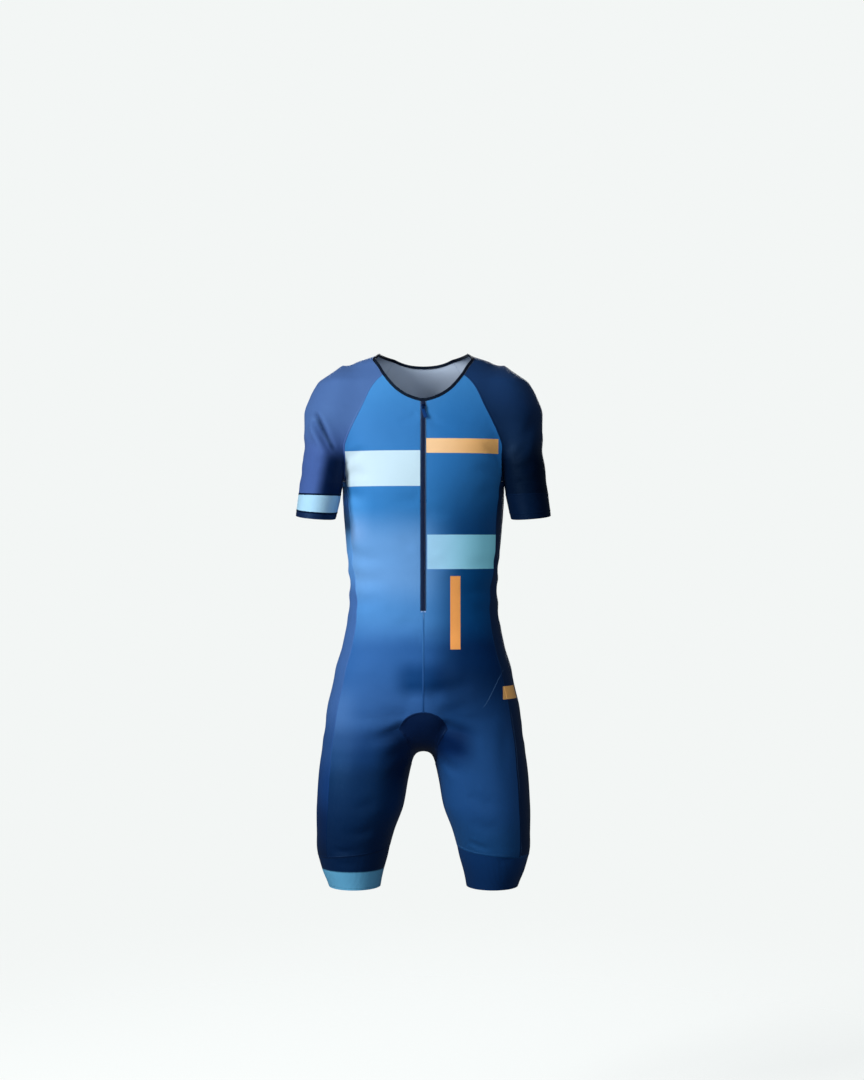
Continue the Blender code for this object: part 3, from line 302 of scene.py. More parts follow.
# How rough and how shiny surfaces are, and where down the sleeves the cloth turns matt
CLOTH_ROUGHNESS = 0.48
ELASTIC_ROUGHNESS = 0.55
THREAD_ROUGHNESS = 0.5
TAPE_ROUGHNESS = 0.6
COIL_ROUGHNESS = 0.35
CLOTH_SHEEN = 0.02
TAPE_SHEEN = 0.05
SHEEN_ROUGHNESS = 0.45
CLOTH_GLOSS = 0.22
CUFF_GLOSS = 0.05
THREAD_GLOSS = 0.1
HARD_GLOSS = 0.3
SLEEVE_MATT = (-0.120, -0.180)

# Colours that change with height, from dye and, where marked, from painted light and shade: (height, colour),
# from the top down
# The right sleeve's lighter indigo is painted light on the navy knit, darker down the arm as painted shade
RIGHT_SLEEVE_PAINTED_LIGHT_AND_SHADE = (
    (-0.090, (0.059, 0.127, 0.325)),
    (-0.160, (0.047, 0.095, 0.288)),
)
# The left sleeve's near black is painted shade on the same navy knit
LEFT_SLEEVE_PAINTED_SHADE = (
    (-0.020, (0.010, 0.038, 0.125)),
    (-0.100, (0.003, 0.016, 0.060)),
    (-0.180, (0.0006, 0.004, 0.016)),
)
LEFT_LEG_SEAM_DYE = (
    (-0.860, (0.007, 0.048, 0.155)),
    (-0.880, (0.004, 0.034, 0.115)),
)
# The centre front seam, a little darker than the fronts, with their print and painted light and shade
FRONT_SEAM_PRINT_AND_SHADING = (
    (-0.400, (0.044, 0.172, 0.420)),
    (-0.480, (0.028, 0.120, 0.330)),
    (-0.560, (0.012, 0.062, 0.210)),
    (-0.640, (0.005, 0.034, 0.125)),
)
# The thread beside the zip is pale as a painted highlight on the fronts' folded edges, fading down the front
ZIP_THREAD_PAINTED_HIGHLIGHT = (
    (-0.150, (0.120, 0.330, 0.620)),
    (-0.240, (0.030, 0.160, 0.400)),
)
HIP_THREAD_DYE = ((0.0, FAINT_THREAD),)
HEM_THREAD_DYE = (
    (-0.300, SHADED_CUFF_NAVY),
    (-0.900, DEEP_NAVY),
)
HIP_SEAM = (0.003, 0.016, 0.060)
THIGH_SEAM = (0.004, 0.022, 0.085)
LEG_THREAD_DYE = (
    (-0.5715, HIP_SEAM),
    (-0.5725, ORANGE),
    (-0.5945, ORANGE),
    (-0.5955, HIP_SEAM),
    (-0.600, HIP_SEAM),
    (-0.640, FAINT_THREAD),
    (-0.740, FAINT_THREAD),
    (-0.780, THIGH_SEAM),
    (-0.850, THIGH_SEAM),
    (-0.860, (0.055, 0.150, 0.310)),
    (-0.876, (0.018, 0.070, 0.180)),
)
# The blue print fades to navy down the legs; the darker band under the chest, the lighter belly and the quick
# fall towards the crotch are painted shade and painted light.
RIGHT_FRONT_PRINT_AND_SHADING = (
    (0.000, (0.050, 0.235, 0.560)),
    (-0.120, (0.034, 0.178, 0.465)),
    (-0.246, (0.030, 0.182, 0.475)),
    (-0.315, (0.121, 0.306, 0.632)),
    (-0.375, (0.124, 0.308, 0.635)),
    (-0.440, (0.067, 0.236, 0.560)),
    (-0.508, (0.024, 0.108, 0.335)),
    (-0.622, (0.025, 0.094, 0.285)),
    (-0.662, (0.010, 0.049, 0.172)),
    (-0.695, (0.005, 0.034, 0.130)),
    (-0.740, (0.002, 0.020, 0.080)),
    (-0.880, (0.001, 0.011, 0.048)),
)
# The left front is darker than the right partly as painted shade, and lighter on the thigh as painted light.
LEFT_FRONT_PRINT_AND_SHADING = (
    (0.000, (0.042, 0.220, 0.540)),
    (-0.120, (0.022, 0.158, 0.440)),
    (-0.260, (0.024, 0.170, 0.460)),
    (-0.350, (0.082, 0.260, 0.600)),
    (-0.440, (0.058, 0.225, 0.550)),
    (-0.510, (0.014, 0.080, 0.260)),
    (-0.600, (0.008, 0.047, 0.165)),
    (-0.700, (0.011, 0.060, 0.200)),
    (-0.780, (0.011, 0.060, 0.200)),
    (-0.860, (0.008, 0.052, 0.165)),
    (-0.890, (0.004, 0.034, 0.115)),
)
BACK_DYE = (
    (0.020, (0.050, 0.250, 0.620)),
    (-0.120, (0.028, 0.190, 0.540)),
    (-0.380, (0.070, 0.260, 0.620)),
)
SEAT_DYE = (
    (-0.380, (0.024, 0.120, 0.390)),
    (-0.520, (0.009, 0.062, 0.230)),
    (-0.880, (0.002, 0.024, 0.100)),
)
# The right side panel's navy with painted light, brightest just below the arm, and painted shade at the
# underarm
RIGHT_SIDE_PAINTED_LIGHT_AND_SHADE = (
    (-0.200, (0.012, 0.040, 0.140)),
    (-0.230, (0.130, 0.400, 0.880)),
    (-0.300, (0.130, 0.380, 0.820)),
    (-0.350, (0.085, 0.250, 0.580)),
    (-0.420, (0.048, 0.128, 0.355)),
    (-0.600, (0.038, 0.105, 0.300)),
    (-0.680, (0.016, 0.060, 0.200)),
    (-0.750, (0.005, 0.033, 0.140)),
    (-0.820, (0.001, 0.012, 0.060)),
    (-0.880, (0.001, 0.008, 0.036)),
)
LEFT_SIDE_DYE = (
    (-0.200, (0.002, 0.012, 0.050)),
    (-0.420, (0.003, 0.018, 0.070)),
    (-0.880, (0.002, 0.012, 0.048)),
)
# Where, across, the right front's colours pass into the left's darker print and painted shade
FRONTS_MEET = (-0.020, 0.055)
# Painted light and shade on the fronts: across and, if it ends there, out again; down to its full strength;
# out again below; and the tint. The blue deepens towards the wearer's left, partly as print and partly as
# painted shade; painted shade lies under the belly and round the gusset, and painted light on the right thigh
# and beside the right arm.
# Painted shade towards the wearer's left from the belly down, partly a print that deepens there
DEEPENING_PRINT_AND_SHADE = ((-0.010, 0.075), (-0.150, -0.330), (-0.650, -0.530), (0.020, 0.240, 0.350))
# Painted shade of a soft crease under the belly
UNDER_BELLY_PAINTED_SHADE = ((-0.064, -0.020, 0.066, 0.026), (-0.515, -0.550), (-0.594, -0.566), (0.180, 0.460, 0.580))
RIGHT_PAINTED_LIGHT_AND_SHADE = (
    DEEPENING_PRINT_AND_SHADE,
    UNDER_BELLY_PAINTED_SHADE,
    # Painted shade round the gusset on the right inner thigh
    ((-0.092, -0.040), (-0.622, -0.662), (-0.790, -0.715), (0.250, 0.320, 0.400)),
    # Painted light on the right thigh
    ((-0.105, -0.155), (-0.555, -0.605), (-0.790, -0.700), (1.900, 1.450, 1.250)),
    # Painted light along the right front's outer edge below the arm
    ((-0.085, -0.136), (-0.222, -0.242), (-0.325, -0.285), (2.100, 1.480, 1.320)),
)
LEFT_PAINTED_SHADE = (
    DEEPENING_PRINT_AND_SHADE,
    UNDER_BELLY_PAINTED_SHADE,
    # Painted shade round the gusset on the left inner thigh
    ((0.106, 0.060), (-0.622, -0.662), (-0.730, -0.680), (0.120, 0.240, 0.380)),
)
# Painted shade on the right sleeve towards the underarm: across at a height, down, and how far that edge
# leans
SLEEVE_ACROSS = (-0.187, -0.163)
SLEEVE_DOWN = (-0.136, -0.172)
SLEEVE_LEAN = 0.20
SLEEVE_LEAN_Z = -0.170
# Painted shade deep in the right sleeve's main fold: the fold's two ends, half width, how dark it is, over
# what share of its length, and how far forward it shows
SLEEVE_FOLD = ((-0.1950, -0.0820), (-0.1550, -0.1600))
SLEEVE_FOLD_HALF = 0.0075
SLEEVE_FOLD_SHARE = 0.85
SLEEVE_FOLD_FULL = 0.50
SLEEVE_FOLD_FRONT = (-0.090, -0.115)
RIGHT_BAND_DYE = ((-0.9030, (0.001, 0.011, 0.048)), (-0.9065, BAND_BLUE))
LEFT_BAND_DYE = ((-0.860, (0.003, 0.026, 0.105)), (-0.938, (0.002, 0.018, 0.075)))
DYE_DRIFT = 0.05
PRINT_EDGE = 0.0004
TAB_HEIGHTS = (-0.5950, -0.5720)

# The printed bands of the fronts: from and to across, from and to in height, and the colours at their two
# sides; the light blue block's outer colour is brighter as painted light
RIGHT_BANDS = (((-0.160, -0.0040), (-0.2145, -0.1515), PALE_SHADE, PALE),)
LEFT_BANDS = (
    ((0.0040, 0.134), (-0.1560, -0.1300), ORANGE_LIGHT, ORANGE),
    ((0.0070, 0.1375), (-0.3615, -0.3005), BLOCK_BLUE, BLOCK_PAINTED_LIGHT),
    ((0.0480, 0.066), (-0.5040, -0.3740), STRIPE_ORANGE, STRIPE_ORANGE),
    ((0.1425, 0.200), TAB_HEIGHTS, ORANGE, ORANGE),
)
# The hip tab goes on round the side: from and to in depth
SIDE_TAB = ((-0.160, -0.092), TAB_HEIGHTS, ORANGE)

# Knit, seams and thread
KNIT_PITCH = (0.0012, 0.0010)
BINDING_PITCH = (0.0008, 0.0008)
WRONG_SIDE_RELIEF = 0.7
RIB_PITCH = 0.0022
TWILL_PITCH = 0.0009
LOCK_PITCH = 0.0032
SEAM_HALF = 0.0018
RIBBON_PITCH = 0.0035
# A seam's raised section: the share of its half width, and the height
SEAM_PROFILE = (
    (-1.0, -0.00030),
    (-0.86, 0.00022),
    (-0.4, 0.00040),
    (0.4, 0.00040),
    (0.86, 0.00022),
    (1.0, -0.00030),
)
# A stitch's rings: the share of its half length, and size and lift as shares of its radius
STITCH_RINGS = ((-1.0, 0.5, -1.4), (-0.7, 0.9, -0.1), (0.0, 1.0, 0.5), (0.7, 0.9, -0.1), (1.0, 0.5, -1.4))
STITCH_SIDES = 5
STITCH_TURNS = tuple(2 * math.pi * i / STITCH_SIDES for i in range(STITCH_SIDES))
STITCH_PITCH = 0.0027
STITCH_LENGTH = 0.0021
FINE_THREAD = 0.00022
THICK_THREAD = 0.0004
COIL_PITCH = 0.0014
COIL_OFFSET = 0.00095
COIL_LIFT = 0.00015
COIL_LENGTH = 0.0025
COIL_RADIUS = 0.00048
TACK_THREADS = 16
TACK_WIDTH = 0.009
TACK_HEIGHT = 0.0034
TACK_RADIUS = 0.0003
TACK_DROP = 0.001
TACK_ROW = 0.017
TACK_ROW_PITCH = 0.0016
TACK_ROW_STITCH = 0.0019
# Node, its material's name and colour, how metallic and how rough it is
HARDWARE = (
    ("zip_slider", "slider_enamel", SLIDER_COLOUR, 0.7, 0.32),
    ("zip_pull", "pull_plastic", PULL_COLOUR, 0.0, 0.45),
)

# The studio
BACKDROP = (0.896, 0.922, 0.913)
AMBIENT = 0.09
AMBIENT_COLOUR = (0.80, 0.88, 1.0)
LENS = 67.77
SENSOR_WIDTH = 36.0
CAMERA_PLACE = (0.0155, -3.7685, -0.310)
FLOOR_Z = -1.42
FLOOR_RADIUS = 2.4
FLOOR_SEGMENTS = 96
FLOOR_SOLID = 0.2
FLOOR_ROUGHNESS = 0.9
FLOOR_GLOW = 0.80
FLOOR_COLOUR = (0.26, 0.27, 0.266)
# Name, place, what it points at, size, power in watts, colour
LIGHTS = (
    ("key", (-3.05, -2.40, 1.20), (-0.02, -0.07, -0.38), (1.3, 1.7), 200.0, (1.0, 0.985, 0.96)),
    ("front_fill", (0.75, -4.10, 0.10), (0.0, -0.07, -0.45), (2.2, 2.2), 58.0, (0.92, 0.96, 1.0)),
    ("back_fill", (0.30, 3.90, 0.70), (0.0, -0.07, -0.45), (2.2, 2.2), 70.0, (0.96, 0.98, 1.0)),
)


# ---------------------------------------------------------------- the form


def smooth_column(table, columns, name, z):
    """A table's column at the heights z, through its rows on one smooth curve without overshoot."""
    rows = sorted(table)
    knots = np.array([row[0] for row in rows])
    values = np.array([row[columns.index(name)] for row in rows])
    steps = np.diff(knots)
    slopes = np.diff(values) / steps
    tangents = np.zeros(len(knots))
    for i in range(1, len(knots) - 1):
        if slopes[i - 1] * slopes[i] > 0:
            near, far = 2 * steps[i] + steps[i - 1], steps[i] + 2 * steps[i - 1]
            tangents[i] = (near + far) / (near / slopes[i - 1] + far / slopes[i])
    tangents[0], tangents[-1] = slopes[0], slopes[-1]
    z = np.clip(z, knots[0], knots[-1])
    k = np.clip(np.searchsorted(knots, z) - 1, 0, len(steps) - 1)
    t = (z - knots[k]) / steps[k]
    rise = t * t * (3 - 2 * t)
    start = values[k] + rise * (values[k + 1] - values[k])
    return start + steps[k] * (tangents[k] * t * (1 - t) ** 2 - tangents[k + 1] * t * t * (1 - t))


def unit(vectors):
    """Vectors at length 1."""
    return vectors / np.linalg.norm(vectors, axis=-1, keepdims=True)


def square_to(vectors, normals):
    """The part of each vector that is square to a normal."""
    return vectors - normals * (vectors * normals).sum(axis=1, keepdims=True)


def ease(value, low, high):
    """0 below low and 1 above high, smooth between."""
    t = np.clip((value - low) / (high - low), 0.0, 1.0)
    return t * t * (3 - 2 * t)


def blend(a, b, reach):
    """The smaller of two distances, rounded over the reach where they are near each other."""
    reach = np.maximum(reach, TINY)
    near = np.maximum(reach - np.abs(a - b), 0.0) / reach
    return np.minimum(a, b) - near * near * reach / 4


def oval(across, along, half_width, half_depth, squareness):
    """Roughly how far a point lies outside an oval section."""
    ratio = np.abs(across / half_width) ** squareness + np.abs(along / half_depth) ** squareness
    return (ratio ** (1 / squareness) - 1) * np.minimum(half_width, half_depth)


def body_distance(x, y, z):
    """How far points lie outside the torso and legs, without the sleeves."""
    section = {name: smooth_column(BODY_SECTIONS, BODY_COLUMNS, name, z) for name in BODY_COLUMNS[1:]}
    depth = np.where(y < 0, section["front"], section["back"])
    near = oval(np.abs(x) - section["centre_x"], y, section["half_width"], depth, section["squareness"])
    far = oval(np.abs(x) + section["centre_x"], y, section["half_width"], depth, section["squareness"])
    both = blend(near, far, np.minimum(LEG_BLEND, LEG_BLEND_PER_CENTRE * section["centre_x"]))
    offset = [np.abs((value - centre) / half) ** SADDLE_SQUARENESS
              for value, centre, half in zip((x, y, z), SADDLE_CENTRE, SADDLE_HALF)]
    saddle = (sum(offset) ** (1 / SADDLE_SQUARENESS) - 1) * SADDLE_HALF[0]
    return blend(both, saddle, SADDLE_BLEND)


def arm_distance(x, y, z):
    """How far points lie outside the sleeves."""
    section = {name: smooth_column(ARM_SECTIONS, ARM_COLUMNS, name, z) for name in ARM_COLUMNS[1:]}
    across = np.abs(x) - section["centre_x"]
    along = y - section["centre_y"]
    distance = oval(across, along, section["half_width"], section["half_depth"], 2.0)
    return np.where(z > ARM_SECTIONS[0][0], distance + (z - ARM_SECTIONS[0][0]), distance)


def suit_distance(x, y, z):
    """How far points lie outside the whole suit above the armpits, and its torso and legs below."""
    body = body_distance(x, y, z)
    reach = ARMPIT_BLEND + (SHOULDER_BLEND - ARMPIT_BLEND) * ease(z, ARMPIT_Z, SHOULDER_BLEND_Z)
    return np.where(z >= ARMPIT_Z, blend(body, arm_distance(x, y, z), reach), body)


def cast(origins, directions, distance, reach=CAST_REACH):
    """Where rays from inside the form first cross its surface."""
    origins = np.asarray(origins, float)
    directions = unit(np.asarray(directions, float))
    low = np.zeros(len(origins))
    high = np.full(len(origins), reach)
    found = np.zeros(len(origins), bool)
    for step in range(1, CAST_STEPS + 1):
        travel = reach * step / CAST_STEPS
        outside = distance(*(origins + directions * travel).T) > 0
        first = outside & ~found
        low[first] = travel - reach / CAST_STEPS
        high[first] = travel
        found |= outside
    for _ in range(CAST_HALVINGS):
        middle = (low + high) / 2
        outside = distance(*(origins + directions * middle[:, None]).T) > 0
        high = np.where(outside, middle, high)
        low = np.where(outside, low, middle)
    return origins + directions * high[:, None]


# ---------------------------------------------------------------- charts of the form


def ray_centre(z):
    """Where the body's level rays start: its middle above the waist, a leg's middle below the crotch."""
    leg = smooth_column(BODY_SECTIONS, BODY_COLUMNS, "centre_x", np.minimum(z, CROTCH_Z))
    return leg * ease(-z, -RAYS_PART_Z, -CROTCH_Z)


def level_rays(angle):
    """Level directions at angles from straight out to the side."""
    return np.stack([np.cos(angle), np.sin(angle), np.zeros_like(angle)], axis=-1)


def body_points(angle, z):
    """Points on the torso and legs at angles round them: 0 is out to the side, -90 degrees the front."""
    angle, z = np.broadcast_arrays(np.asarray(angle, float), np.asarray(z, float))
    origins = np.stack([ray_centre(z), np.zeros_like(z), z], axis=-1)
    return cast(origins.reshape(-1, 3), level_rays(angle).reshape(-1, 3), suit_distance).reshape(*z.shape, 3)


def body_chart(points, face):
    """The angle and height of points on the front (face -1) or the back (face 1) of the body."""
    angle = np.arctan2(points[..., 1], points[..., 0] - ray_centre(points[..., 2]))
    return np.stack([face * np.abs(angle), points[..., 2]], axis=-1)


def facing_points(x, z, face):
    """Points on the form at (x, z) as seen straight from the front or from behind."""
    x, z = np.asarray(x, float), np.asarray(z, float)
    origins = np.stack([x, np.zeros_like(x), z], axis=-1)
    return cast(origins, np.tile((0.0, face, 0.0), (len(x), 1)), suit_distance)


def fan_frame(v):
    """A sleeve plane's ray origin and its outward direction: v runs 0 to 1 round the fan, to 2 at the hem."""
    turn = np.clip(v, 0.0, 1.0)
    down = np.clip(v - 1.0, 0.0, None)
    angle = FAN_START * (1 - turn) + SLEEVE_HEM_TILT * np.clip(down, 0.0, 1.0)
    level_z = ARMPIT_Z + (SLEEVE_HEM_Z - ARMPIT_Z) * down
    arm_x = smooth_column(ARM_SECTIONS, ARM_COLUMNS, "centre_x", level_z)
    arm_y = smooth_column(ARM_SECTIONS, ARM_COLUMNS, "centre_y", level_z) * ease(v, FAN_BACK_START, 1.0)
    reach = FAN_NECK_REACH + (arm_x - FAN_PIVOT[0] - FAN_NECK_REACH) * ease(v, 0.0, 1.0)
    outward = level_rays(angle)[..., [0, 2, 1]]
    fan = np.stack([np.full_like(angle, FAN_PIVOT[0]), arm_y, np.full_like(angle, FAN_PIVOT[1])], axis=-1)
    level = np.stack([arm_x, arm_y, level_z], axis=-1)
    origin = np.where((v <= 1.0)[..., None], fan + outward * reach[..., None], level)
    return origin, outward


def sleeve_points(v, angle):
    """Points on the sleeve in plane v, at angles round it: 0 is outward, -90 degrees the front."""
    v, angle = np.broadcast_arrays(np.asarray(v, float), np.asarray(angle, float))
    origin, outward = fan_frame(v)
    sideways = np.array((0.0, 1.0, 0.0))
    directions = np.cos(angle)[..., None] * outward + np.sin(angle)[..., None] * sideways
    shape = v.shape
    v, origin, directions = v.ravel(), origin.reshape(-1, 3), directions.reshape(-1, 3)
    upper = cast(origin, directions, suit_distance)
    lower = cast(origin, directions, arm_distance)
    return np.where((v < 1.0)[:, None], upper, lower).reshape(*shape, 3)


def sleeve_chart(points, face):
    """The plane and angle of points on the sleeve above the armpit."""
    turn = np.arctan2(points[..., 2] - FAN_PIVOT[1], points[..., 0] - FAN_PIVOT[0])
    v = 1 - turn / FAN_START
    origin, outward = fan_frame(v)
    offset = points - origin
    angle = np.arctan2(offset[..., 1], (offset * outward).sum(axis=-1))
    return np.stack([v, face * np.abs(angle)], axis=-1)


def gusset_points(x, angle):
    """Points on the saddle between the legs, at angles from straight ahead down and round to the back."""
    origins = np.stack([x, np.zeros_like(x), np.full_like(x, GUSSET_CENTRE_Z)], axis=-1)
    directions = np.stack([np.zeros_like(x), -np.cos(angle), -np.sin(angle)], axis=-1)
    return cast(origins.reshape(-1, 3), directions.reshape(-1, 3), suit_distance).reshape(*x.shape, 3)


def gusset_chart(points):
    """How far out to the side points on the saddle lie, and their angle round it."""
    angle = np.arctan2(GUSSET_CENTRE_Z - points[..., 2], -points[..., 1])
    return np.stack([points[..., 0], angle], axis=-1)


# ---------------------------------------------------------------- seams and nets


def summed(steps):
    """How far along each end of the steps is, from 0."""
    return np.concatenate([[0.0], np.cumsum(steps)])


def along_line(points):
    """How far along a polyline each of its points is."""
    return summed(np.linalg.norm(np.diff(points, axis=0), axis=1))


def sampled(values, lengths, wanted):
    """Values that are given at some lengths along a line, at the wanted lengths."""
    return np.stack([np.interp(wanted, lengths, column) for column in values.T], axis=-1)


def resample(line, count):
    """A polyline's points, as count equal steps along it."""
    line = np.asarray(line, float)
    lengths = along_line(line)
    return sampled(line, lengths, lengths[-1] * np.linspace(0.0, 1.0, count + 1))


def soft_line(line, count):
    """A short table's points as one rounded line of count steps."""
    line = resample(line, LINE_STEPS)
    for _ in range(LINE_SOFTENINGS):
        line[1:-1] = (line[:-2] + 2 * line[1:-1] + line[2:]) / 4
    return resample(line, count)


def fill(top, bottom, left, right):
    """Chart values inside four borders: top and bottom run left to right, left and right top to bottom."""
    rows, columns = len(left), len(top)
    u = np.linspace(0.0, 1.0, columns)[None, :, None]
    v = np.linspace(0.0, 1.0, rows)[:, None, None]
    sides = left[:, None] * (1 - u) + right[:, None] * u
    ends = top[None] * (1 - v) + bottom[None] * v
    corners = (top[0] * (1 - u) + top[-1] * u) * (1 - v) + (bottom[0] * (1 - u) + bottom[-1] * u) * v
    return sides + ends - corners


def turned_over(corners):
    """A face's corners the other way round, from the same first corner, so a quad splits alike."""
    return [corners[0], *corners[:0:-1]]


class Net:
    """The suit's outer face: points, quads that each belong to a named piece, and named lines.

    Each corner of a quad also has its spot on the cut piece: how far across and down, in metres.
    """

    def __init__(self):
        self.points = []
        self.faces = []
        self.spots = []
        self.pieces = []
        self.lines = {}

    def add(self, points):
        """Adds points, and gives their numbers in the same arrangement."""
        points = np.asarray(points, float)
        first = len(self.points)
        self.points.extend(points.reshape(-1, 3))
        return np.arange(first, len(self.points)).reshape(points.shape[:-1])

    def where(self, numbers):
        """The points with these numbers, in the same arrangement."""
        return np.array([self.points[i] for i in np.ravel(numbers)]).reshape(*np.shape(numbers), 3)

    def face(self, piece, corners, spots):
        """Adds one face, unless its corners meet in fewer than three points."""
        kept = {}
        for i, spot in zip(corners, spots):
            kept.setdefault(int(i), spot)
        if len(kept) > 2:
            self.faces.append(list(kept))
            self.spots.append(list(kept.values()))
            self.pieces.append(piece)

    def quads(self, piece, numbers, outward=True, first_down=0.0):
        """Adds a grid of point numbers as quads; outward=False turns them over."""
        place = self.where(numbers)
        across = np.linalg.norm(np.diff(place, axis=1), axis=2).mean(axis=0)
        down = np.linalg.norm(np.diff(place, axis=0), axis=2).mean(axis=1)
        across = summed(across)
        down = first_down + summed(down)
        for row in range(numbers.shape[0] - 1):
            for column in range(numbers.shape[1] - 1):
                corners = [(row, column), (row + 1, column), (row + 1, column + 1), (row, column + 1)]
                if not outward:
                    corners.reverse()
                self.face(piece, [numbers[corner] for corner in corners],
                          [(across[corner[1]], down[corner[0]]) for corner in corners])
        return down[-1]

    def mirrored(self):
        """This net and its mirror image, which share the points on the middle plane."""
        whole = Net()
        whole.points = list(self.points)
        twins = {}
        for i, point in enumerate(self.points):
            if abs(point[0]) < TINY:
                point[0] = 0.0
                twins[i] = i
            else:
                twins[i] = len(whole.points)
                whole.points.append(point * (-1.0, 1.0, 1.0))
        for corners, spots, piece in zip(self.faces, self.spots, self.pieces):
            whole.faces.append(corners)
            whole.spots.append(spots)
            whole.pieces.append(piece)
            whole.faces.append([twins[i] for i in turned_over(corners)])
            whole.spots.append(turned_over(spots))
            whole.pieces.append(piece.replace("_left", "_right"))
        for name, numbers in self.lines.items():
            whole.lines[f"{name}_left"] = [int(i) for i in numbers]
            whole.lines[f"{name}_right"] = [twins[int(i)] for i in numbers]
        return whole


def valley_points(face):
    """Where sleeve and torso meet between the end of the raglan table and the armpit, from the top down."""
    points = []
    for z in np.linspace(VALLEY_TOP_Z, ARMPIT_Z, VALLEY_ROWS):
        angle = np.radians(np.linspace(*VALLEY_ANGLES, VALLEY_LOOKS)) * face
        origins = np.tile((0.0, 0.0, z), (len(angle), 1))
        ring = cast(origins, level_rays(angle), body_distance)
        clearance = arm_distance(*ring.T)
        touching = np.argmax(clearance < 0) if (clearance < 0).any() else np.argmin(clearance)
        points.append(ring[touching])
    points = np.array(points)
    outward = level_gradient(points, body_distance) + level_gradient(points, arm_distance)
    outward[-1] = (0.0, face, 0.0)
    raised = cast(points, outward, suit_distance, VALLEY_FILL)
    raised[-1] = points[-1]
    return raised


def level_gradient(points, distance):
    """The level direction in which a distance grows fastest, of length 1."""
    slope = np.zeros_like(points)
    for axis in (0, 1):
        shift = np.zeros(3)
        shift[axis] = GRADIENT_STEP
        slope[:, axis] = distance(*(points + shift).T) - distance(*(points - shift).T)
    return unit(slope)


def seam_lines():
    """The raglan seams of the wearer's left side, as rows of points from the neck to the armpit."""
    valleys = {FRONT: valley_points(FRONT), BACK: valley_points(BACK)}
    armpit = (valleys[FRONT][-1] + valleys[BACK][-1]) / 2
    lines = {}
    for face, table, name in ((FRONT, RAGLAN_FRONT, "front"), (BACK, RAGLAN_BACK, "back")):
        seen = soft_line(table, RAGLAN_SEEN)
        upper = facing_points(seen[:, 0], seen[:, 1], face)
        seam = resample(np.vstack([upper, valleys[face][:-1], armpit]), RAGLAN_ROWS)
        lines[f"raglan_{name}"] = seam
    return lines


def row_heights(start, stops):
    """Heights from start through (height, rows) stops, evenly spaced within each."""
    heights = [start]
    for height, rows in stops:
        heights.extend(np.linspace(heights[-1], height, rows + 1)[1:])
    return np.array(heights)


def side_seam(start, name):
    """The seam between the side panel and the front or back, from the raglan seam to the leg band."""
    upper_rows = ZIP_ROWS + CENTRE_ROWS - CHEST_ROWS
    lower_rows = ARCH_ROWS + GUSSET_ROWS + INSEAM_ROWS
    z = row_heights(start[2], ((ARCH_TOP_FRONT_Z, upper_rows), (BAND_OUTER_Z, lower_rows)))
    angle = np.radians(smooth_column(SIDE_SEAMS, SIDE_COLUMNS, name, z))
    own = math.atan2(start[1], start[0])
    settle = 1 - ease(start[2] - z, 0.0, SIDE_SETTLE)
    table = np.radians(smooth_column(SIDE_SEAMS, SIDE_COLUMNS, name, start[2]))
    return body_points(angle + (own - table) * settle, z)


def gusset_edges():
    """The gusset's arches, its two side edges and the point where they meet the inseam."""
    edges = {}
    meeting = body_points([math.pi], [CROTCH_Z])[0]
    for face, table, name in ((FRONT, ARCH_FRONT, "front"), (BACK, ARCH_BACK, "back")):
        seen = soft_line(table, ARCH_ROWS)
        edges[f"arch_{name}"] = facing_points(seen[:, 0], seen[:, 1], face)
        corner = body_chart(edges[f"arch_{name}"][-1], face)
        t = np.linspace(0.0, 1.0, GUSSET_ROWS + 1)
        angle = corner[0] + (face * math.pi - corner[0]) * t
        z = corner[1] + (CROTCH_Z - corner[1]) * np.sin(t * math.pi / 2)
        edges[f"side_{name}"] = body_points(angle, z)
        edges[f"side_{name}"][-1] = meeting
    return edges


def inner_borders(gusset):
    """The middle borders of front and back, from the neck to the leg band, as points."""
    zip_z = row_heights(ZIP_TOP_Z, ((CHEST_FRONT_Z, CHEST_ROWS), (ZIP_BOTTOM_Z, ZIP_ROWS - CHEST_ROWS)))
    zip_edge = facing_points(np.full(len(zip_z), ZIP_HALF_WIDTH), zip_z, FRONT)
    zip_middle = facing_points(np.zeros(len(zip_z)), zip_z, FRONT)
    centre_z = np.linspace(ZIP_BOTTOM_Z, ARCH_TOP_FRONT_Z, CENTRE_ROWS + 1)[1:]
    centre = facing_points(np.zeros(len(centre_z)), centre_z, FRONT)
    lower_rows = ZIP_ROWS + CENTRE_ROWS - CHEST_ROWS
    back_z = row_heights(NECK_BACK[0][1], ((CHEST_BACK_Z, CHEST_ROWS), (ARCH_TOP_BACK_Z, lower_rows)))
    back_centre = facing_points(np.zeros(len(back_z)), back_z, BACK)
    inseam_z = np.linspace(CROTCH_Z, BAND_INNER_Z, INSEAM_ROWS + 1)[1:]
    inseam = body_points(np.full(len(inseam_z), math.pi), inseam_z)
    return {
        "zip_middle": zip_middle,
        "front": np.vstack([zip_edge, centre, gusset["arch_front"][1:], gusset["side_front"][1:], inseam]),
        "back": np.vstack([back_centre, gusset["arch_back"][1:], gusset["side_back"][1:], inseam]),
    }


def neck_edges(raglan_front, raglan_back):
    """The neck edge of the front, the sleeve and the back."""
    front = soft_line(NECK_FRONT, COLUMNS)
    front_points = facing_points(front[:, 0], front[:, 1], FRONT)
    back = soft_line(NECK_BACK, COLUMNS)
    back_points = facing_points(back[:, 0], back[:, 1], BACK)
    start, end = body_chart(raglan_front, FRONT), body_chart(raglan_back, BACK)
    t = np.linspace(-1.0, 1.0, SLEEVE_COLUMNS + 1)
    z = NECK_RIDGE_Z + (np.where(t < 0, start[1], end[1]) - NECK_RIDGE_Z) * t * t
    angle = np.where(t < 0, -t * start[0], t * end[0])
    over = resample(body_points(angle, z), SLEEVE_COLUMNS)
    return {"front": front_points, "back": back_points, "sleeve": over}


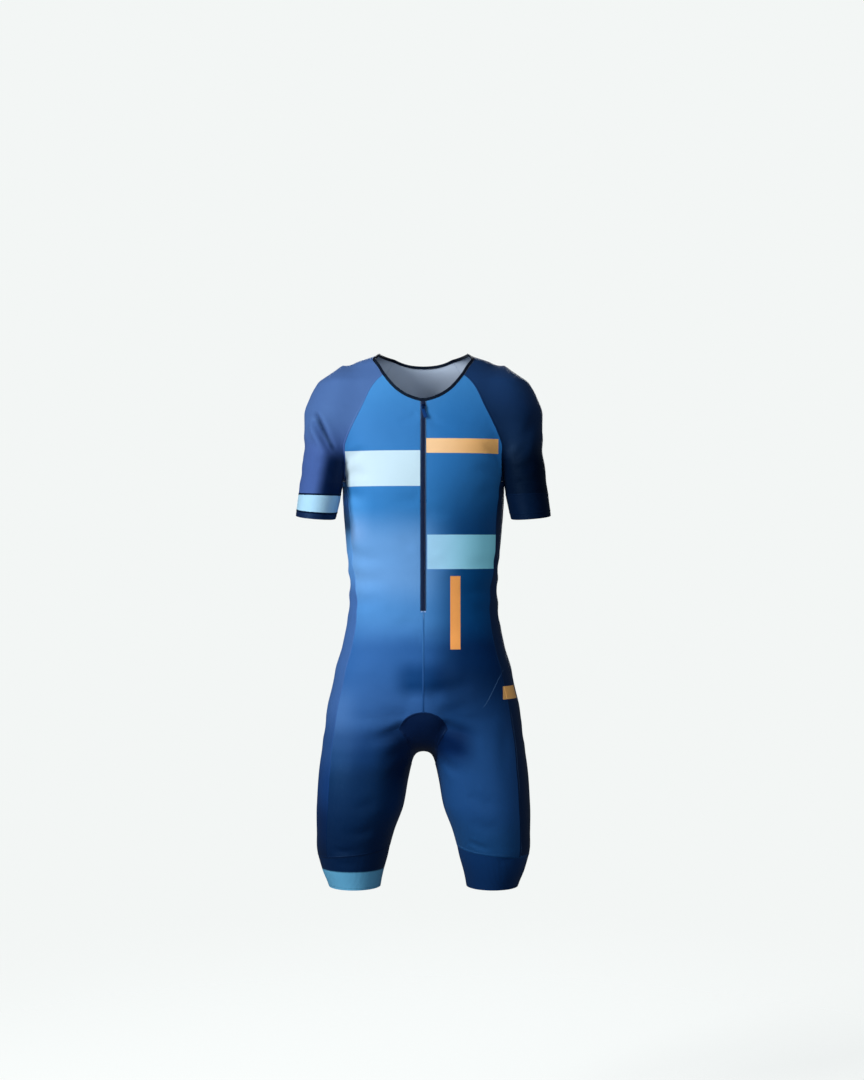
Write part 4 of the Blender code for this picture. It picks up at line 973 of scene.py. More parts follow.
def panel(net, piece, borders, chart, surface):
    """Fills a panel between its borders (top, bottom, left, right), and gives its point numbers.

    Its quads are added when it has a piece's name.
    """
    values = fill(*(chart(net.where(border)) for border in borders))
    points = surface(values[..., 0], values[..., 1])
    numbers = np.full(points.shape[:2], -1)
    numbers[0], numbers[-1], numbers[:, 0], numbers[:, -1] = borders
    inside = numbers < 0
    numbers[inside] = net.add(points[inside])
    if piece:
        net.quads(piece, numbers)
    return numbers


def half_net():
    """The wearer's left half of the suit."""
    net = Net()
    seams = seam_lines()
    gusset = gusset_edges()
    inner = inner_borders(gusset)
    corner = CHEST_ROWS
    total = len(inner["front"]) - 1

    # Points that several pieces share
    raglan_front = net.add(seams["raglan_front"])
    raglan_back = net.add(seams["raglan_back"][:-1])
    raglan_back = np.append(raglan_back, raglan_front[-1])
    front_seam = side_seam(seams["raglan_front"][corner], "front_angle")
    back_seam = side_seam(seams["raglan_back"][corner], "back_angle")
    side_front = np.append(raglan_front[corner], net.add(front_seam[1:]))
    side_back = np.append(raglan_back[corner], net.add(back_seam[1:]))
    inner_front = net.add(inner["front"])
    crotch_row = total - INSEAM_ROWS
    inner_back = np.append(net.add(inner["back"][:crotch_row]), inner_front[crotch_row:])
    zip_middle = net.add(inner["zip_middle"])
    neck = neck_edges(seams["raglan_front"][0], seams["raglan_back"][0])
    neck_front = np.concatenate([inner_front[:1], net.add(neck["front"][1:-1]), raglan_front[:1]])
    neck_back = np.concatenate([inner_back[:1], net.add(neck["back"][1:-1]), raglan_back[:1]])
    neck_sleeve = np.concatenate([raglan_front[:1], net.add(neck["sleeve"][1:-1]), raglan_back[:1]])

    # Front and back, each filled in one go from the neck to the leg band
    outer_front = np.concatenate([raglan_front[:corner], side_front])
    outer_back = np.concatenate([raglan_back[:corner], side_back])
    band = {}
    for face, name, top, left, right in (
        (FRONT, "front", neck_front, inner_front, outer_front),
        (BACK, "back", neck_back, inner_back, outer_back),
    ):
        ends = body_chart(net.where([left[-1], right[-1]]), face)
        ends[0, 0] = face * math.pi
        steps = np.linspace(0.0, 1.0, COLUMNS + 1)[:, None]
        bottom_chart = ends[0] * (1 - steps) + ends[1] * steps
        bottom_points = body_points(*bottom_chart.T)
        bottom = np.concatenate([left[-1:], net.add(bottom_points[1:-1]), right[-1:]])
        numbers = panel(net, "", (top, bottom, left, right),
                        lambda points, side=face: body_chart(points, side), body_points)
        if face == FRONT:
            net.quads("front_left", numbers)
        else:
            net.quads("back", numbers[:WAIST_ROW + 1], outward=False)
            net.quads("seat_left", numbers[WAIST_ROW:], outward=False)
            waist = numbers[WAIST_ROW]
        band[name] = bottom

    # The zip's tape, and the small corner of the front below its end
    zip_edge = inner_front[:ZIP_ROWS + 1]
    net.quads("zip_tape_left", np.stack([zip_middle, zip_edge], axis=1))
    below_zip = [zip_middle[-1], inner_front[ZIP_ROWS + 1], zip_edge[-1]]
    net.face("front_left", below_zip, [(0.0, 0.0)] * 3)

    # The side panel hangs from the bottom of the armhole
    side_top = np.concatenate([raglan_front[corner:], raglan_back[corner:-1][::-1]])
    angles = body_chart(net.where([side_front[-1], side_back[-1]]), 1)[:, 0] * (-1, 1)
    across = np.linspace(angles[0], angles[1], 2 * SIDE_TOP + 1)
    side_bottom_points = body_points(across, np.full(len(across), BAND_OUTER_Z))
    side_bottom = np.concatenate([side_front[-1:], net.add(side_bottom_points[1:-1]), side_back[-1:]])
    lines = (side_top, side_bottom, side_front, side_back)
    panel(net, "side_left", lines, side_chart, body_points)

    sleeve(net, raglan_front, raglan_back, neck_sleeve)
    leg_ring = np.concatenate([band["front"], side_bottom[1:], band["back"][-2::-1]])
    leg_band(net, leg_ring)
    gusset_half(net, inner_front, inner_back)
    neck_line = np.concatenate([zip_middle[:1], neck_front, neck_sleeve[1:], neck_back[-2::-1]])
    binding(net, neck_line)
    centre_row = ZIP_ROWS + CENTRE_ROWS
    net.lines.update({
        "raglan_front": raglan_front,
        "raglan_back": raglan_back,
        "side_front": side_front,
        "side_back": side_back,
        "leg_band": leg_ring,
        "centre_front": np.append(zip_middle[-1:], inner_front[ZIP_ROWS + 1:centre_row + 1]),
        "centre_back": inner_back[WAIST_ROW:centre_row + 1],
        "inseam": inner_front[crotch_row:],
        "gusset_front": inner_front[centre_row:crotch_row + 1],
        "gusset_back": inner_back[centre_row:crotch_row + 1],
        "waist": waist,
        "zip_middle": zip_middle,
        "zip_edge": zip_edge,
        "neck": neck_line,
    })
    return net


def side_chart(points):
    """The side panel's chart: the angle round the body, front negative and back positive."""
    angle = np.arctan2(points[..., 1], points[..., 0] - ray_centre(points[..., 2]))
    return np.stack([angle, points[..., 2]], axis=-1)


def sleeve(net, raglan_front, raglan_back, neck_sleeve):
    """The sleeve from the neck to its band, and the band and edge below, as rings round the arm."""
    front = sleeve_chart(net.where(raglan_front), FRONT)
    back = sleeve_chart(net.where(raglan_back), BACK)
    front[-1], back[-1] = (1.0, -math.pi), (1.0, math.pi)
    neck = net.where(neck_sleeve)
    top = sleeve_chart(neck, BACK)
    top[:, 1] = np.copysign(top[:, 1], neck[:, 1])
    top[0], top[-1] = front[0], back[0]
    half = SLEEVE_COLUMNS // 2
    t = np.linspace(0.0, 1.0, SLEEVE_COLUMNS + 1)
    bottom = np.stack([np.ones_like(t), (2 * t - 1) * math.pi], axis=-1)
    values = fill(top, bottom, front, back)
    even = np.linspace(top[half, 0], 1.0, RAGLAN_ROWS + 1)[:, None]
    keep = np.abs(2 * t - 1)[None, :] ** 2.0
    values[..., 0] = even + (values[..., 0] - even) * keep
    points = sleeve_points(values[..., 0], values[..., 1])
    numbers = np.full(points.shape[:2], -1)
    numbers[0], numbers[:, 0], numbers[:, -1] = neck_sleeve, raglan_front, raglan_back
    inside = numbers < 0
    numbers[inside] = net.add(points[inside])
    down = net.quads("sleeve_left", numbers)
    ring = numbers[-1]
    for piece, start, end, rows, line in (
        ("sleeve_left", 1.0, SLEEVE_BAND_V, 1 * DENSITY, "sleeve_band"),
        ("sleeve_band_left", SLEEVE_BAND_V, SLEEVE_EDGE_V, 2 * DENSITY, "sleeve_edge"),
        ("sleeve_hem_left", SLEEVE_EDGE_V, 2.0, 1 * DENSITY, "sleeve_hem"),
    ):
        for v in np.linspace(start, end, rows + 1)[1:]:
            angle = (2 * t[:-1] - 1) * math.pi
            dip = -SLEEVE_HEM_DIP * np.sin(angle) * ease(v, 1.0, 2.0)
            points = sleeve_points(v + dip, angle)
            below = net.add(points)
            below = np.append(below, below[0])
            down = net.quads(piece, np.stack([ring, below]), first_down=down)
            ring = below
        net.lines[line] = ring


def leg_band(net, ring):
    """The band at the end of the leg, from the seam ring down to the hem."""
    upper = net.where(ring)
    angle = np.arctan2(upper[:, 1], upper[:, 0] - ray_centre(upper[:, 2]))
    angle[0], angle[-1] = -math.pi, math.pi
    down = 0.0
    for row in range(1, LEG_BAND_ROWS + 1):
        share = row / LEG_BAND_ROWS
        z = upper[:, 2] + (LEG_HEM_Z - upper[:, 2]) * share
        below = net.add(body_points(angle[:-1], z[:-1]))
        below = np.append(below, below[0])
        down = net.quads("leg_band_left", np.stack([ring, below]), first_down=down)
        ring = below
    net.lines["leg_hem"] = ring


def gusset_half(net, inner_front, inner_back):
    """Half of the crotch gusset, from the middle line out to its edge on the inner thigh."""
    first = ZIP_ROWS + CENTRE_ROWS
    corner = first + ARCH_ROWS
    meeting = corner + GUSSET_ROWS
    top = inner_front[first:corner + 1]
    bottom = inner_back[first:corner + 1]
    right = np.concatenate([inner_front[corner:meeting + 1], inner_back[corner:meeting][::-1]])
    ends = gusset_chart(net.where([top[0], bottom[0]]))
    steps = np.linspace(0.0, 1.0, 2 * GUSSET_ROWS + 1)[:, None]
    middle_chart = ends[0] * (1 - steps) + ends[1] * steps
    middle_points = gusset_points(middle_chart[:, 0], middle_chart[:, 1])
    left = np.concatenate([top[:1], net.add(middle_points[1:-1]), bottom[:1]])
    panel(net, "crotch_gusset", (top, bottom, left, right), gusset_chart, gusset_points)


def binding(net, neck_line):
    """The neck binding: a strip that goes on from the neck edge, away from the cloth."""
    edge = net.where(neck_line)
    inward = {}
    for corners in net.faces:
        middle = np.mean([net.points[i] for i in corners], axis=0)
        for i in corners:
            inward.setdefault(i, []).append(middle)
    below = np.array([np.mean(inward[int(i)], axis=0) for i in neck_line])
    along = np.gradient(edge, axis=0)
    along[0], along[-1] = (1.0, 0.0, 0.0), (-1.0, 0.0, 0.0)
    away = unit(square_to(edge - below, unit(along)))
    rim = net.add(edge + away * BINDING_HEIGHT)
    net.quads("neck_binding", np.stack([rim, neck_line]))


# ---------------------------------------------------------------- folds and walls


def point_normals(net):
    """The outward normal at each point of the net, from the faces round it."""
    points = np.array(net.points)
    normals = np.zeros_like(points)
    for corners in net.faces:
        place = points[corners]
        across = place[2] - place[0]
        along = place[-1] - place[1]
        normal = np.cross(across, along)
        for i in corners:
            normals[i] += normal
    return unit(normals)


def fold(net):
    """Presses the largest folds into the net, on both sides of the body."""
    points = np.array(net.points)
    normals = point_normals(net)
    depth = np.zeros(len(points))
    for start_x, start_z, end_x, end_z, face, deep, width in FOLDS:
        start, end = np.array((start_x, start_z)), np.array((end_x, end_z))
        seen = np.stack([np.abs(points[:, 0]), points[:, 2]], axis=-1)
        along = end - start
        share = np.clip(((seen - start) @ along) / (along @ along), 0.0, 1.0)
        away = np.linalg.norm(seen - start - share[:, None] * along, axis=1)
        facing = ease(face * normals[:, 1], 0.0, FOLD_FACING)
        depth += deep * np.exp(-((away / width) ** 2)) * (1 - FOLD_FADE * share) * facing
    net.points = list(points - normals * depth[:, None])


# ---------------------------------------------------------------- creases

# The smaller creases by the view that they are seen in, in millimetres: start, middle and end (sideways and
# height, or depth and height from a side), depth (negative for a ridge), half width, and then the share over
# which it rises.
CREASES = {
    "front": (
        # right sleeve
        (-200, -82, -186, -108, -164, -148, 8.5, 7.5, 0.25),
        (-160, -158, -174, -132, -192, -100, 2.2, 7, 0.1),
        (-208, -98, -193, -124, -170, -158, -3, 7.5, 0.35),
        (-160, -172, -182, -168, -206, -178, 1.6, 7, 0.1),
        (-163, -196, -186, -196, -210, -206, 1.2, 8, 0.1),
        (-172, -228, -192, -222, -214, -228, 1, 7.5, 0.4),
        # left sleeve
        (160, -166, 178, -150, 196, -118, 2.2, 7, 0.1),
        (162, -182, 186, -178, 208, -160, 1.6, 8, 0.1),
        (165, -205, 190, -208, 214, -196, 1.2, 7.5, 0.15),
        (172, -236, 196, -242, 218, -238, 0.9, 8, 0.4),
        # chest, from the armpits
        (-146, -178, -122, -158, -94, -150, 2, 8, 0.1),
        (-147, -196, -118, -192, -82, -200, 1.4, 9, 0.1),
        (-144, -222, -120, -232, -88, -250, 1.2, 10, 0.12),
        (146, -174, 124, -150, 100, -136, 2, 8, 0.1),
        (147, -194, 116, -184, 76, -186, 1.5, 9, 0.1),
        (145, -216, 118, -222, 84, -238, 1.2, 10, 0.12),
        # chest, from the neck and the zip
        (-10, -86, -30, -96, -52, -94, 1, 7.5, 0.1),
        (10, -94, 34, -108, 60, -108, 0.9, 8, 0.1),
        (-8, -236, -34, -240, -62, -232, 1.1, 10, 0.12),
        (8, -256, 30, -262, 60, -256, 1, 10, 0.12),
        # waist and belly
        (-134, -330, -104, -342, -62, -340, 1.6, 11, 0.1),
        (-132, -372, -98, -384, -50, -376, 1.8, 12, 0.12),
        (-131, -418, -100, -420, -64, -406, 1.3, 11, 0.12),
        (-44, -300, -28, -318, -12, -322, 1, 10, 0.4),
        (-60, -455, -34, -462, -8, -452, 1.2, 12, 0.4),
        (133, -346, 104, -352, 66, -344, 1.5, 11, 0.1),
        (131, -392, 96, -402, 48, -396, 1.8, 12, 0.12),
        (133, -434, 106, -432, 76, -418, 1.2, 11, 0.12),
        (10, -346, 30, -356, 54, -352, 1, 10, 0.3),
        (10, -468, 36, -482, 70, -478, 1.2, 12, 0.3),
        # lap and crotch
        (-30, -636, -60, -658, -100, -668, 3, 9, 0.12),
        (-24, -616, -56, -618, -98, -604, 1.6, 11, 0.15),
        (-26, -668, -48, -690, -80, -706, 2.2, 9, 0.12),
        (-30, -700, -48, -722, -68, -742, 1.2, 9, 0.12),
        (-18, -596, -30, -572, -48, -548, 1.1, 11, 0.15),
        (30, -634, 62, -648, 102, -652, 3.2, 9, 0.12),
        (26, -614, 60, -608, 96, -590, 1.5, 11, 0.15),
        (28, -664, 52, -684, 88, -696, 2.2, 9.5, 0.12),
        (32, -704, 52, -720, 78, -736, 1.3, 9, 0.12),
        (16, -598, 26, -578, 34, -552, 1, 11, 0.15),
        (-2, -602, 0, -580, -4, -550, -1, 12, 0.2),
        (92, -566, 20, -580, -66, -588, 3, 14, 0.25),
        # thighs
        (-155, -640, -150, -700, -158, -770, 1, 13, 0.4),
        (-84, -770, -108, -786, -136, -782, 1, 11, 0.15),
        (-88, -822, -116, -834, -150, -826, 1.2, 9, 0.15),
        (152, -630, 146, -690, 154, -760, 1.1, 13, 0.4),
        (82, -758, 110, -778, 142, -778, 1.1, 11, 0.15),
        (86, -808, 112, -824, 146, -820, 1.1, 10, 0.15),
        # above the grippers
        (-168, -858, -142, -866, -110, -862, 1.3, 4.5, 0.4),
        (-160, -884, -134, -890, -108, -886, 1, 4, 0.4),
        (-178, -872, -150, -878, -124, -877, -0.7, 4, 0.4),
        (80, -848, 102, -858, 130, -860, 1.6, 5, 0.2),
        (128, -882, 148, -884, 170, -876, 1, 5, 0.4),
    ),
    "back": (
        # shoulder blades and neck
        (-40, -30, -24, -60, -18, -104, 1.4, 11, 0.2),
        (50, -24, 34, -64, 30, -98, 1.2, 11, 0.2),
        (-146, -170, -118, -150, -84, -150, 2.4, 9, 0.1),
        (-146, -194, -112, -188, -70, -196, 1.8, 10, 0.1),
        (146, -172, 116, -156, 78, -160, 2.2, 9, 0.1),
        (146, -198, 114, -200, 66, -212, 1.8, 10, 0.1),
        # the small of the back
        (-118, -300, -60, -318, 6, -306, 2, 10, 0.25),
        (126, -314, 76, -334, 22, -332, 2.2, 10.5, 0.2),
        (-128, -342, -76, -362, -12, -356, 2.8, 11, 0.2),
        (128, -360, 66, -382, 0, -376, 2.6, 11, 0.2),
        (-126, -386, -80, -404, -26, -400, 2.2, 11, 0.2),
        (126, -410, 84, -424, 30, -416, 1.8, 11.5, 0.2),
        (-124, -438, -82, -446, -34, -436, 1.4, 12, 0.2),
        # under the seat and on the thighs
        (-26, -664, -70, -684, -126, -676, 3.2, 11, 0.15),
        (-30, -694, -70, -710, -116, -706, 2, 11, 0.15),
        (-22, -636, -46, -624, -82, -604, 1.4, 12, 0.15),
        (26, -660, 74, -678, 128, -664, 3, 11, 0.15),
        (30, -698, 76, -716, 122, -708, 2.2, 11, 0.15),
        (22, -632, 50, -620, 88, -602, 1.4, 12, 0.15),
        (-80, -800, -112, -816, -150, -806, 1.6, 10, 0.3),
        (-84, -844, -116, -854, -156, -846, 1.4, 8, 0.3),
        (80, -790, 114, -808, 150, -802, 1.6, 10, 0.3),
        (84, -838, 118, -850, 156, -846, 1.4, 8, 0.3),
        # sleeves
        (-158, -166, -180, -152, -206, -150, 2, 8, 0.1),
        (-162, -196, -186, -192, -212, -200, 1.6, 8, 0.1),
        (-170, -232, -192, -228, -214, -236, 1, 8, 0.3),
        (158, -168, 182, -158, 206, -160, 2, 8, 0.1),
        (162, -200, 186, -202, 212, -194, 1.6, 8, 0.1),
        (170, -238, 194, -240, 216, -232, 1, 8, 0.3),
    ),
    "right": (
        # side of the torso
        (-60, -336, -10, -348, 40, -342, 2.2, 10, 0.3),
        (-50, -376, 0, -388, 54, -380, 2.4, 11, 0.3),
        (-56, -420, -12, -430, 36, -426, 1.6, 11, 0.3),
        (-20, -232, 4, -256, 10, -286, 1.6, 10, 0.1),
        (-40, -640, 10, -650, 60, -644, 1.2, 12, 0.3),
        # outside of the sleeve
        (-74, -130, -34, -140, 6, -128, 1.6, 10, 0.3),
        (-80, -184, -40, -192, 2, -182, 1.4, 10, 0.3),
    ),
    "left": (
        (-58, -350, -6, -360, 44, -352, 2.2, 10, 0.3),
        (-52, -392, 4, -402, 52, -396, 2.4, 11, 0.3),
        (-50, -438, -4, -446, 40, -442, 1.6, 11, 0.3),
        (-18, -234, 6, -258, 14, -290, 1.6, 10, 0.1),
        (-44, -650, 6, -662, 58, -654, 1.2, 12, 0.3),
        (-72, -140, -30, -150, 10, -140, 0.9, 12, 0.3),
        (-82, -196, -40, -204, 0, -194, 0.7, 12, 0.3),
    ),
}
MILLIMETRES = 1000
CREASE_STEPS = 14
CREASE_REACH = 3.6
RIDGE_SHARE = 0.32
RIDGE_PLACE = 1.75
RIDGE_WIDTH = 0.80
CREASE_FADE_FROM = 0.45
CREASE_END = 0.01
OUTSIDE = 0.40
# Faces that meet at more than this show an edge
SHARP_ANGLE = math.radians(50.0)


def worn_distance(x, y, z):
    """How far points lie outside the suit, sleeves and all."""
    body = suit_distance(x, y, z)
    return np.where(z >= ARMPIT_Z, body, np.minimum(body, arm_distance(x, y, z)))


def seen_points(view, places):
    """Points on the suit's outer face at places seen from the front, the back, the right or the left."""
    places = np.asarray(places, float)
    across, height = places[:, 0], places[:, 1]
    far = np.full_like(across, OUTSIDE)
    origins, direction = {
        "front": (np.stack([across, -far, height], axis=-1), (0.0, 1.0, 0.0)),
        "back": (np.stack([across, far, height], axis=-1), (0.0, -1.0, 0.0)),
        "right": (np.stack([-far, across, height], axis=-1), (1.0, 0.0, 0.0)),
        "left": (np.stack([far, across, height], axis=-1), (-1.0, 0.0, 0.0)),
    }[view]

    def within(x, y, z):
        return -worn_distance(x, y, z)

    return cast(origins, np.tile(direction, (len(places), 1)), within, OUTSIDE)


def bent_line(start, middle, end, steps):
    """A smooth line through three places."""
    t = np.linspace(0.0, 1.0, steps + 1)[:, None]
    pull = 2 * middle - (start + end) / 2
    return (1 - t) ** 2 * start + 2 * t * (1 - t) * pull + t * t * end


def distance_along(points, line):
    """Each point's distance from a polyline, and the share of the line at its nearest place."""
    nearest = np.full(len(points), np.inf)
    share = np.zeros(len(points))
    count = len(line) - 1
    for i in range(count):
        step = line[i + 1] - line[i]
        t = np.clip(((points - line[i]) @ step) / (step @ step), 0.0, 1.0)
        away = np.linalg.norm(points - line[i] - t[:, None] * step, axis=1)
        closer = away < nearest
        nearest[closer] = away[closer]
        share[closer] = (i + t[closer]) / count
    return nearest, share


def crease(net):
    """Presses the smaller creases into the net."""
    points = np.array(net.points)
    normals = point_normals(net)
    depth = np.zeros(len(points))
    for view, *values, rise in [(view, *row) for view, table in CREASES.items() for row in table]:
        *places, deep, width = (value / MILLIMETRES for value in values)
        start, middle, end = np.reshape(places, (3, 2))
        line = seen_points(view, bent_line(start, middle, end, CREASE_STEPS))
        reach = CREASE_REACH * width
        low, high = line.min(axis=0) - reach, line.max(axis=0) + reach
        near = np.flatnonzero(((points > low) & (points < high)).all(axis=1))
        away, share = distance_along(points[near], line)
        ratio = away / width
        profile = np.exp(-ratio ** 2) - RIDGE_SHARE * np.exp(-((ratio - RIDGE_PLACE) / RIDGE_WIDTH) ** 2)
        rising = ease(share, -CREASE_END, rise)
        strength = rising * (1 - ease(share, max(CREASE_FADE_FROM, rise), 1 + CREASE_END))
        depth[near] += deep * profile * strength
    net.points = list(points - normals * depth[:, None])


# ---------------------------------------------------------------- shells


def wall(net, piece, normals, thickness, proud=0.0):
    """One piece's cloth as a mesh: its right side, its wrong side (material 1) and its cut edges."""
    picked = [number for number, name in enumerate(net.pieces) if name == piece]
    faces = [net.faces[number] for number in picked]
    edges = {(a, b) for corners in faces for a, b in zip(corners, corners[1:] + corners[:1])}
    cut = [edge for edge in edges if edge[::-1] not in edges]
    pulls = {}
    for a, b in cut:
        along = net.points[b] - net.points[a]
        for i in (a, b):
            pulls.setdefault(i, []).append(unit(np.cross(normals[i], along)))
    mesh = bmesh.new()
    layer = mesh.loops.layers.uv.new("cloth")
    outer, inner = {}, {}
    for i in sorted({i for corners in faces for i in corners}):
        place = np.array(net.points[i])
        if i in pulls:
            total = np.sum(pulls[i], axis=0)
            pull = len(pulls[i]) / max(total @ total, POINT_PULL_LIMIT)
            place = place + total * pull * SEAM_GAP / 2
        outer[i] = mesh.verts.new(place + normals[i] * proud - ORIGIN)
        inner[i] = mesh.verts.new(place + normals[i] * (proud - thickness) - ORIGIN)
    for number in picked:
        corners, spots = net.faces[number], net.spots[number]
        right_side = mesh.faces.new([outer[i] for i in corners])
        wrong_side = mesh.faces.new([inner[i] for i in turned_over(corners)])
        wrong_side.material_index = 1
        for face, places in ((right_side, spots), (wrong_side, turned_over(spots))):
            for loop, place in zip(face.loops, places):
                loop[layer].uv = place
    for a, b in cut:
        mesh.faces.new([outer[b], outer[a], inner[a], inner[b]])
    mesh.normal_update()
    return mesh


def make_object(name, mesh, materials, smooth=True):
    """A bmesh as an object of the scene, with its materials."""
    data = bpy.data.meshes.new(name)
    mesh.to_mesh(data)
    mesh.free()
    made = bpy.data.objects.new(name, data)
    for material in materials:
        data.materials.append(material)
    bpy.context.scene.collection.objects.link(made)
    if smooth:
        data.shade_smooth()
        data.set_sharp_from_angle(angle=SHARP_ANGLE)
    return made


# ---------------------------------------------------------------- materials

# The colour mixer's inputs and output
MIX_A = 6
MIX_B = 7
MIX_OUT = 2

# Noise: how fine, how many octaves and how rough
FIBRE_NOISE = (1400.0, 3.0, 0.6)
BLOTCH_NOISE = (9.0, 3.0, 0.55)
PUCKER_NOISE = (60.0, 2.0, 0.5)
DRIFT_NOISE = (5.0, 2.0, 0.5)
ELASTIC_NOISE = (1200.0, 2.0, 0.6)
THREAD_NOISE = (3000.0, 2.0, 0.6)
TAPE_NOISE = (900.0, 2.0, 0.5)
GRAIN_NOISE = (2200.0, 3.0, 0.6)
TONE_NOISE = (260.0, 2.0, 0.5)

# Fine relief: height in metres and strength
PUCKER_RELIEF = (0.0012, 0.35)
STITCH_RELIEF = (0.00022, 0.55)
RIB_RELIEF = (0.0003, 0.5)
THREAD_RELIEF = (0.0001, 0.4)
LOCK_RELIEF = (0.0004, 0.7)
TWILL_RELIEF = (0.0002, 0.5)
GRAIN_RELIEF = (0.00006, 0.4)

# How much each of these lightens and darkens a colour, and the value about which it does
BLOTCH = 0.10
PRINTED_BLOTCH = 0.07
NOISE_MIDDLE = 0.5
FIBRE_WEIGHT = 0.22
STITCH_MIDDLE = 0.4
STITCH_WEIGHT = 0.30
RIB_WEIGHT = 0.05
ELASTIC_TONE = (0.2, 0.9)
THREAD_TONE = (0.5, 0.75)
LOCK_TONE = (0.35, 0.70)
TWILL_WEIGHT = 0.15
TAPE_TONE = (0.3, 0.85)
WORN_TONE = (0.4, 0.8)

# The shape of the loops, as weights and means of waves, and of the seams' crossing threads
LOOP_WAVE = (0.35, 0.5)
WALE_WAVE = (0.6, 0.4)
LOCK_REACH = 0.25
LOCK_EDGE = (0.14, 0.04)


def opaque(colour):
    """A colour with full alpha."""
    return (*colour, 1.0)


class Shader:
    """A Principled material, with short calls for its nodes. Values are sockets, numbers or colours."""

    def __init__(self, name, roughness, **inputs):
        self.material = bpy.data.materials.new(name)
        self.material.use_nodes = True
        self.tree = self.material.node_tree
        self.principled = self.tree.nodes["Principled BSDF"]
        self.set("Roughness", roughness)
        for socket, value in inputs.items():
            self.set(socket.replace("_", " "), value)

    def set(self, socket, value):
        """Fills one of the Principled shader's own inputs."""
        self.feed(self.principled.inputs[socket], value)

    def feed(self, socket, value):
        """Links a socket to an input, or sets the input's value."""
        if isinstance(value, bpy.types.NodeSocket):
            self.tree.links.new(value, socket)
        else:
            socket.default_value = opaque(value) if isinstance(value, tuple) else value

    def node(self, kind, inputs=(), **settings):
        """A new node with its settings, and its numbered or named inputs filled."""
        made = self.tree.nodes.new(kind)
        for name, value in settings.items():
            setattr(made, name, value)
        for key, value in dict(inputs).items():
            self.feed(made.inputs[key], value)
        return made

    def math(self, operation, *values):
        return self.node("ShaderNodeMath", enumerate(values), operation=operation).outputs[0]

    def place(self):
        """The x, y and z of the point, in the frame's metres."""
        coordinates = self.node("ShaderNodeTexCoord").outputs["Object"]
        return self.node("ShaderNodeSeparateXYZ", {0: coordinates}).outputs

    def cloth_place(self):
        """How far across and down the cut piece the point is, in metres."""
        uv = self.node("ShaderNodeUVMap", uv_map="cloth").outputs["UV"]
        return self.node("ShaderNodeSeparateXYZ", {0: uv}).outputs

    def ramp(self, value, low, high):
        """0 at low and 1 at high, smooth between."""
        return self.node("ShaderNodeMapRange", {0: value, 1: low, 2: high, 3: 0.0, 4: 1.0},
                         interpolation_type="SMOOTHSTEP").outputs[0]

    def between(self, value, low, high):
        """1 where a value lies between two limits, with a print's soft edges."""
        rises = self.ramp(value, low - PRINT_EDGE, low + PRINT_EDGE)
        falls = self.ramp(value, high + PRINT_EDGE, high - PRINT_EDGE)
        return self.math("MULTIPLY", rises, falls)

    def mix(self, factor, a, b, blend="MIX"):
        return self.node("ShaderNodeMix", {0: factor, MIX_A: a, MIX_B: b}, data_type="RGBA",
                         blend_type=blend).outputs[MIX_OUT]

    def shaded(self, colour, shade):
        """A colour multiplied by a grey."""
        grey = self.node("ShaderNodeCombineXYZ", {0: shade, 1: shade, 2: shade}).outputs[0]
        return self.mix(1.0, colour, grey, "MULTIPLY")

    def printed(self, colour, dye, across, across_limits, z, z_limits):
        """A colour with a rectangle of dye printed on it."""
        inside = self.math("MULTIPLY", self.between(across, *across_limits), self.between(z, *z_limits))
        return self.mix(inside, colour, dye)

    def noise(self, scale, detail, roughness):
        """Smooth noise about 0.5, over the frame's coordinates."""
        inputs = {"Scale": scale, "Detail": detail, "Roughness": roughness}
        inputs["Vector"] = self.node("ShaderNodeTexCoord").outputs["Object"]
        return self.node("ShaderNodeTexNoise", inputs).outputs[0]

    def bump(self, height, relief, share=1.0, normal=None):
        """The normal over a relief of (height, strength), on top of another normal where one is given."""
        distance, strength = relief
        inputs = {"Height": height, "Distance": distance, "Strength": strength * share}
        if normal:
            inputs["Normal"] = normal
        return self.node("ShaderNodeBump", inputs).outputs[0]

    def wave(self, value, pitch=1.0):
        """A sine wave along a value."""
        return self.math("SINE", self.math("MULTIPLY", value, 2 * math.pi / pitch))

    def finish(self, colour, normal=None):
        self.set("Base Color", colour)
        if normal:
            self.set("Normal", normal)
        return self.material


def weave_relief(shader, across_pitch, along_pitch):
    """The height of knitted stitches: columns of slanting loops."""
    across, along, _ = shader.cloth_place()
    column = shader.math("DIVIDE", across, across_pitch)
    row = shader.math("DIVIDE", along, along_pitch)
    side = shader.math("PINGPONG", column, 0.5)
    loops = shader.wave(shader.math("ADD", row, side))
    lifted = shader.math("MULTIPLY_ADD", loops, *LOOP_WAVE)
    return shader.math("MULTIPLY", lifted, shader.math("MULTIPLY_ADD", shader.wave(side), *WALE_WAVE))


def knit_finish(shader, colour, relief=1.0, pitch=KNIT_PITCH, blotch=BLOTCH):
    """Finishes a cloth colour with fibre and dye variation, stitches and soft puckering."""
    stitches = weave_relief(shader, *pitch)
    fibre = shader.noise(*FIBRE_NOISE)
    dye = shader.noise(*BLOTCH_NOISE)
    shade = 1.0
    for value, middle, weight in (
        (dye, NOISE_MIDDLE, blotch * 2),
        (fibre, NOISE_MIDDLE, FIBRE_WEIGHT),
        (stitches, STITCH_MIDDLE, STITCH_WEIGHT),
    ):
        shade = shader.math("MULTIPLY_ADD", shader.math("SUBTRACT", value, middle), weight, shade)
    normal = shader.bump(shader.noise(*PUCKER_NOISE), PUCKER_RELIEF, relief)
    normal = shader.bump(stitches, STITCH_RELIEF, relief, normal)
    return shader.finish(shader.shaded(colour, shade), normal)


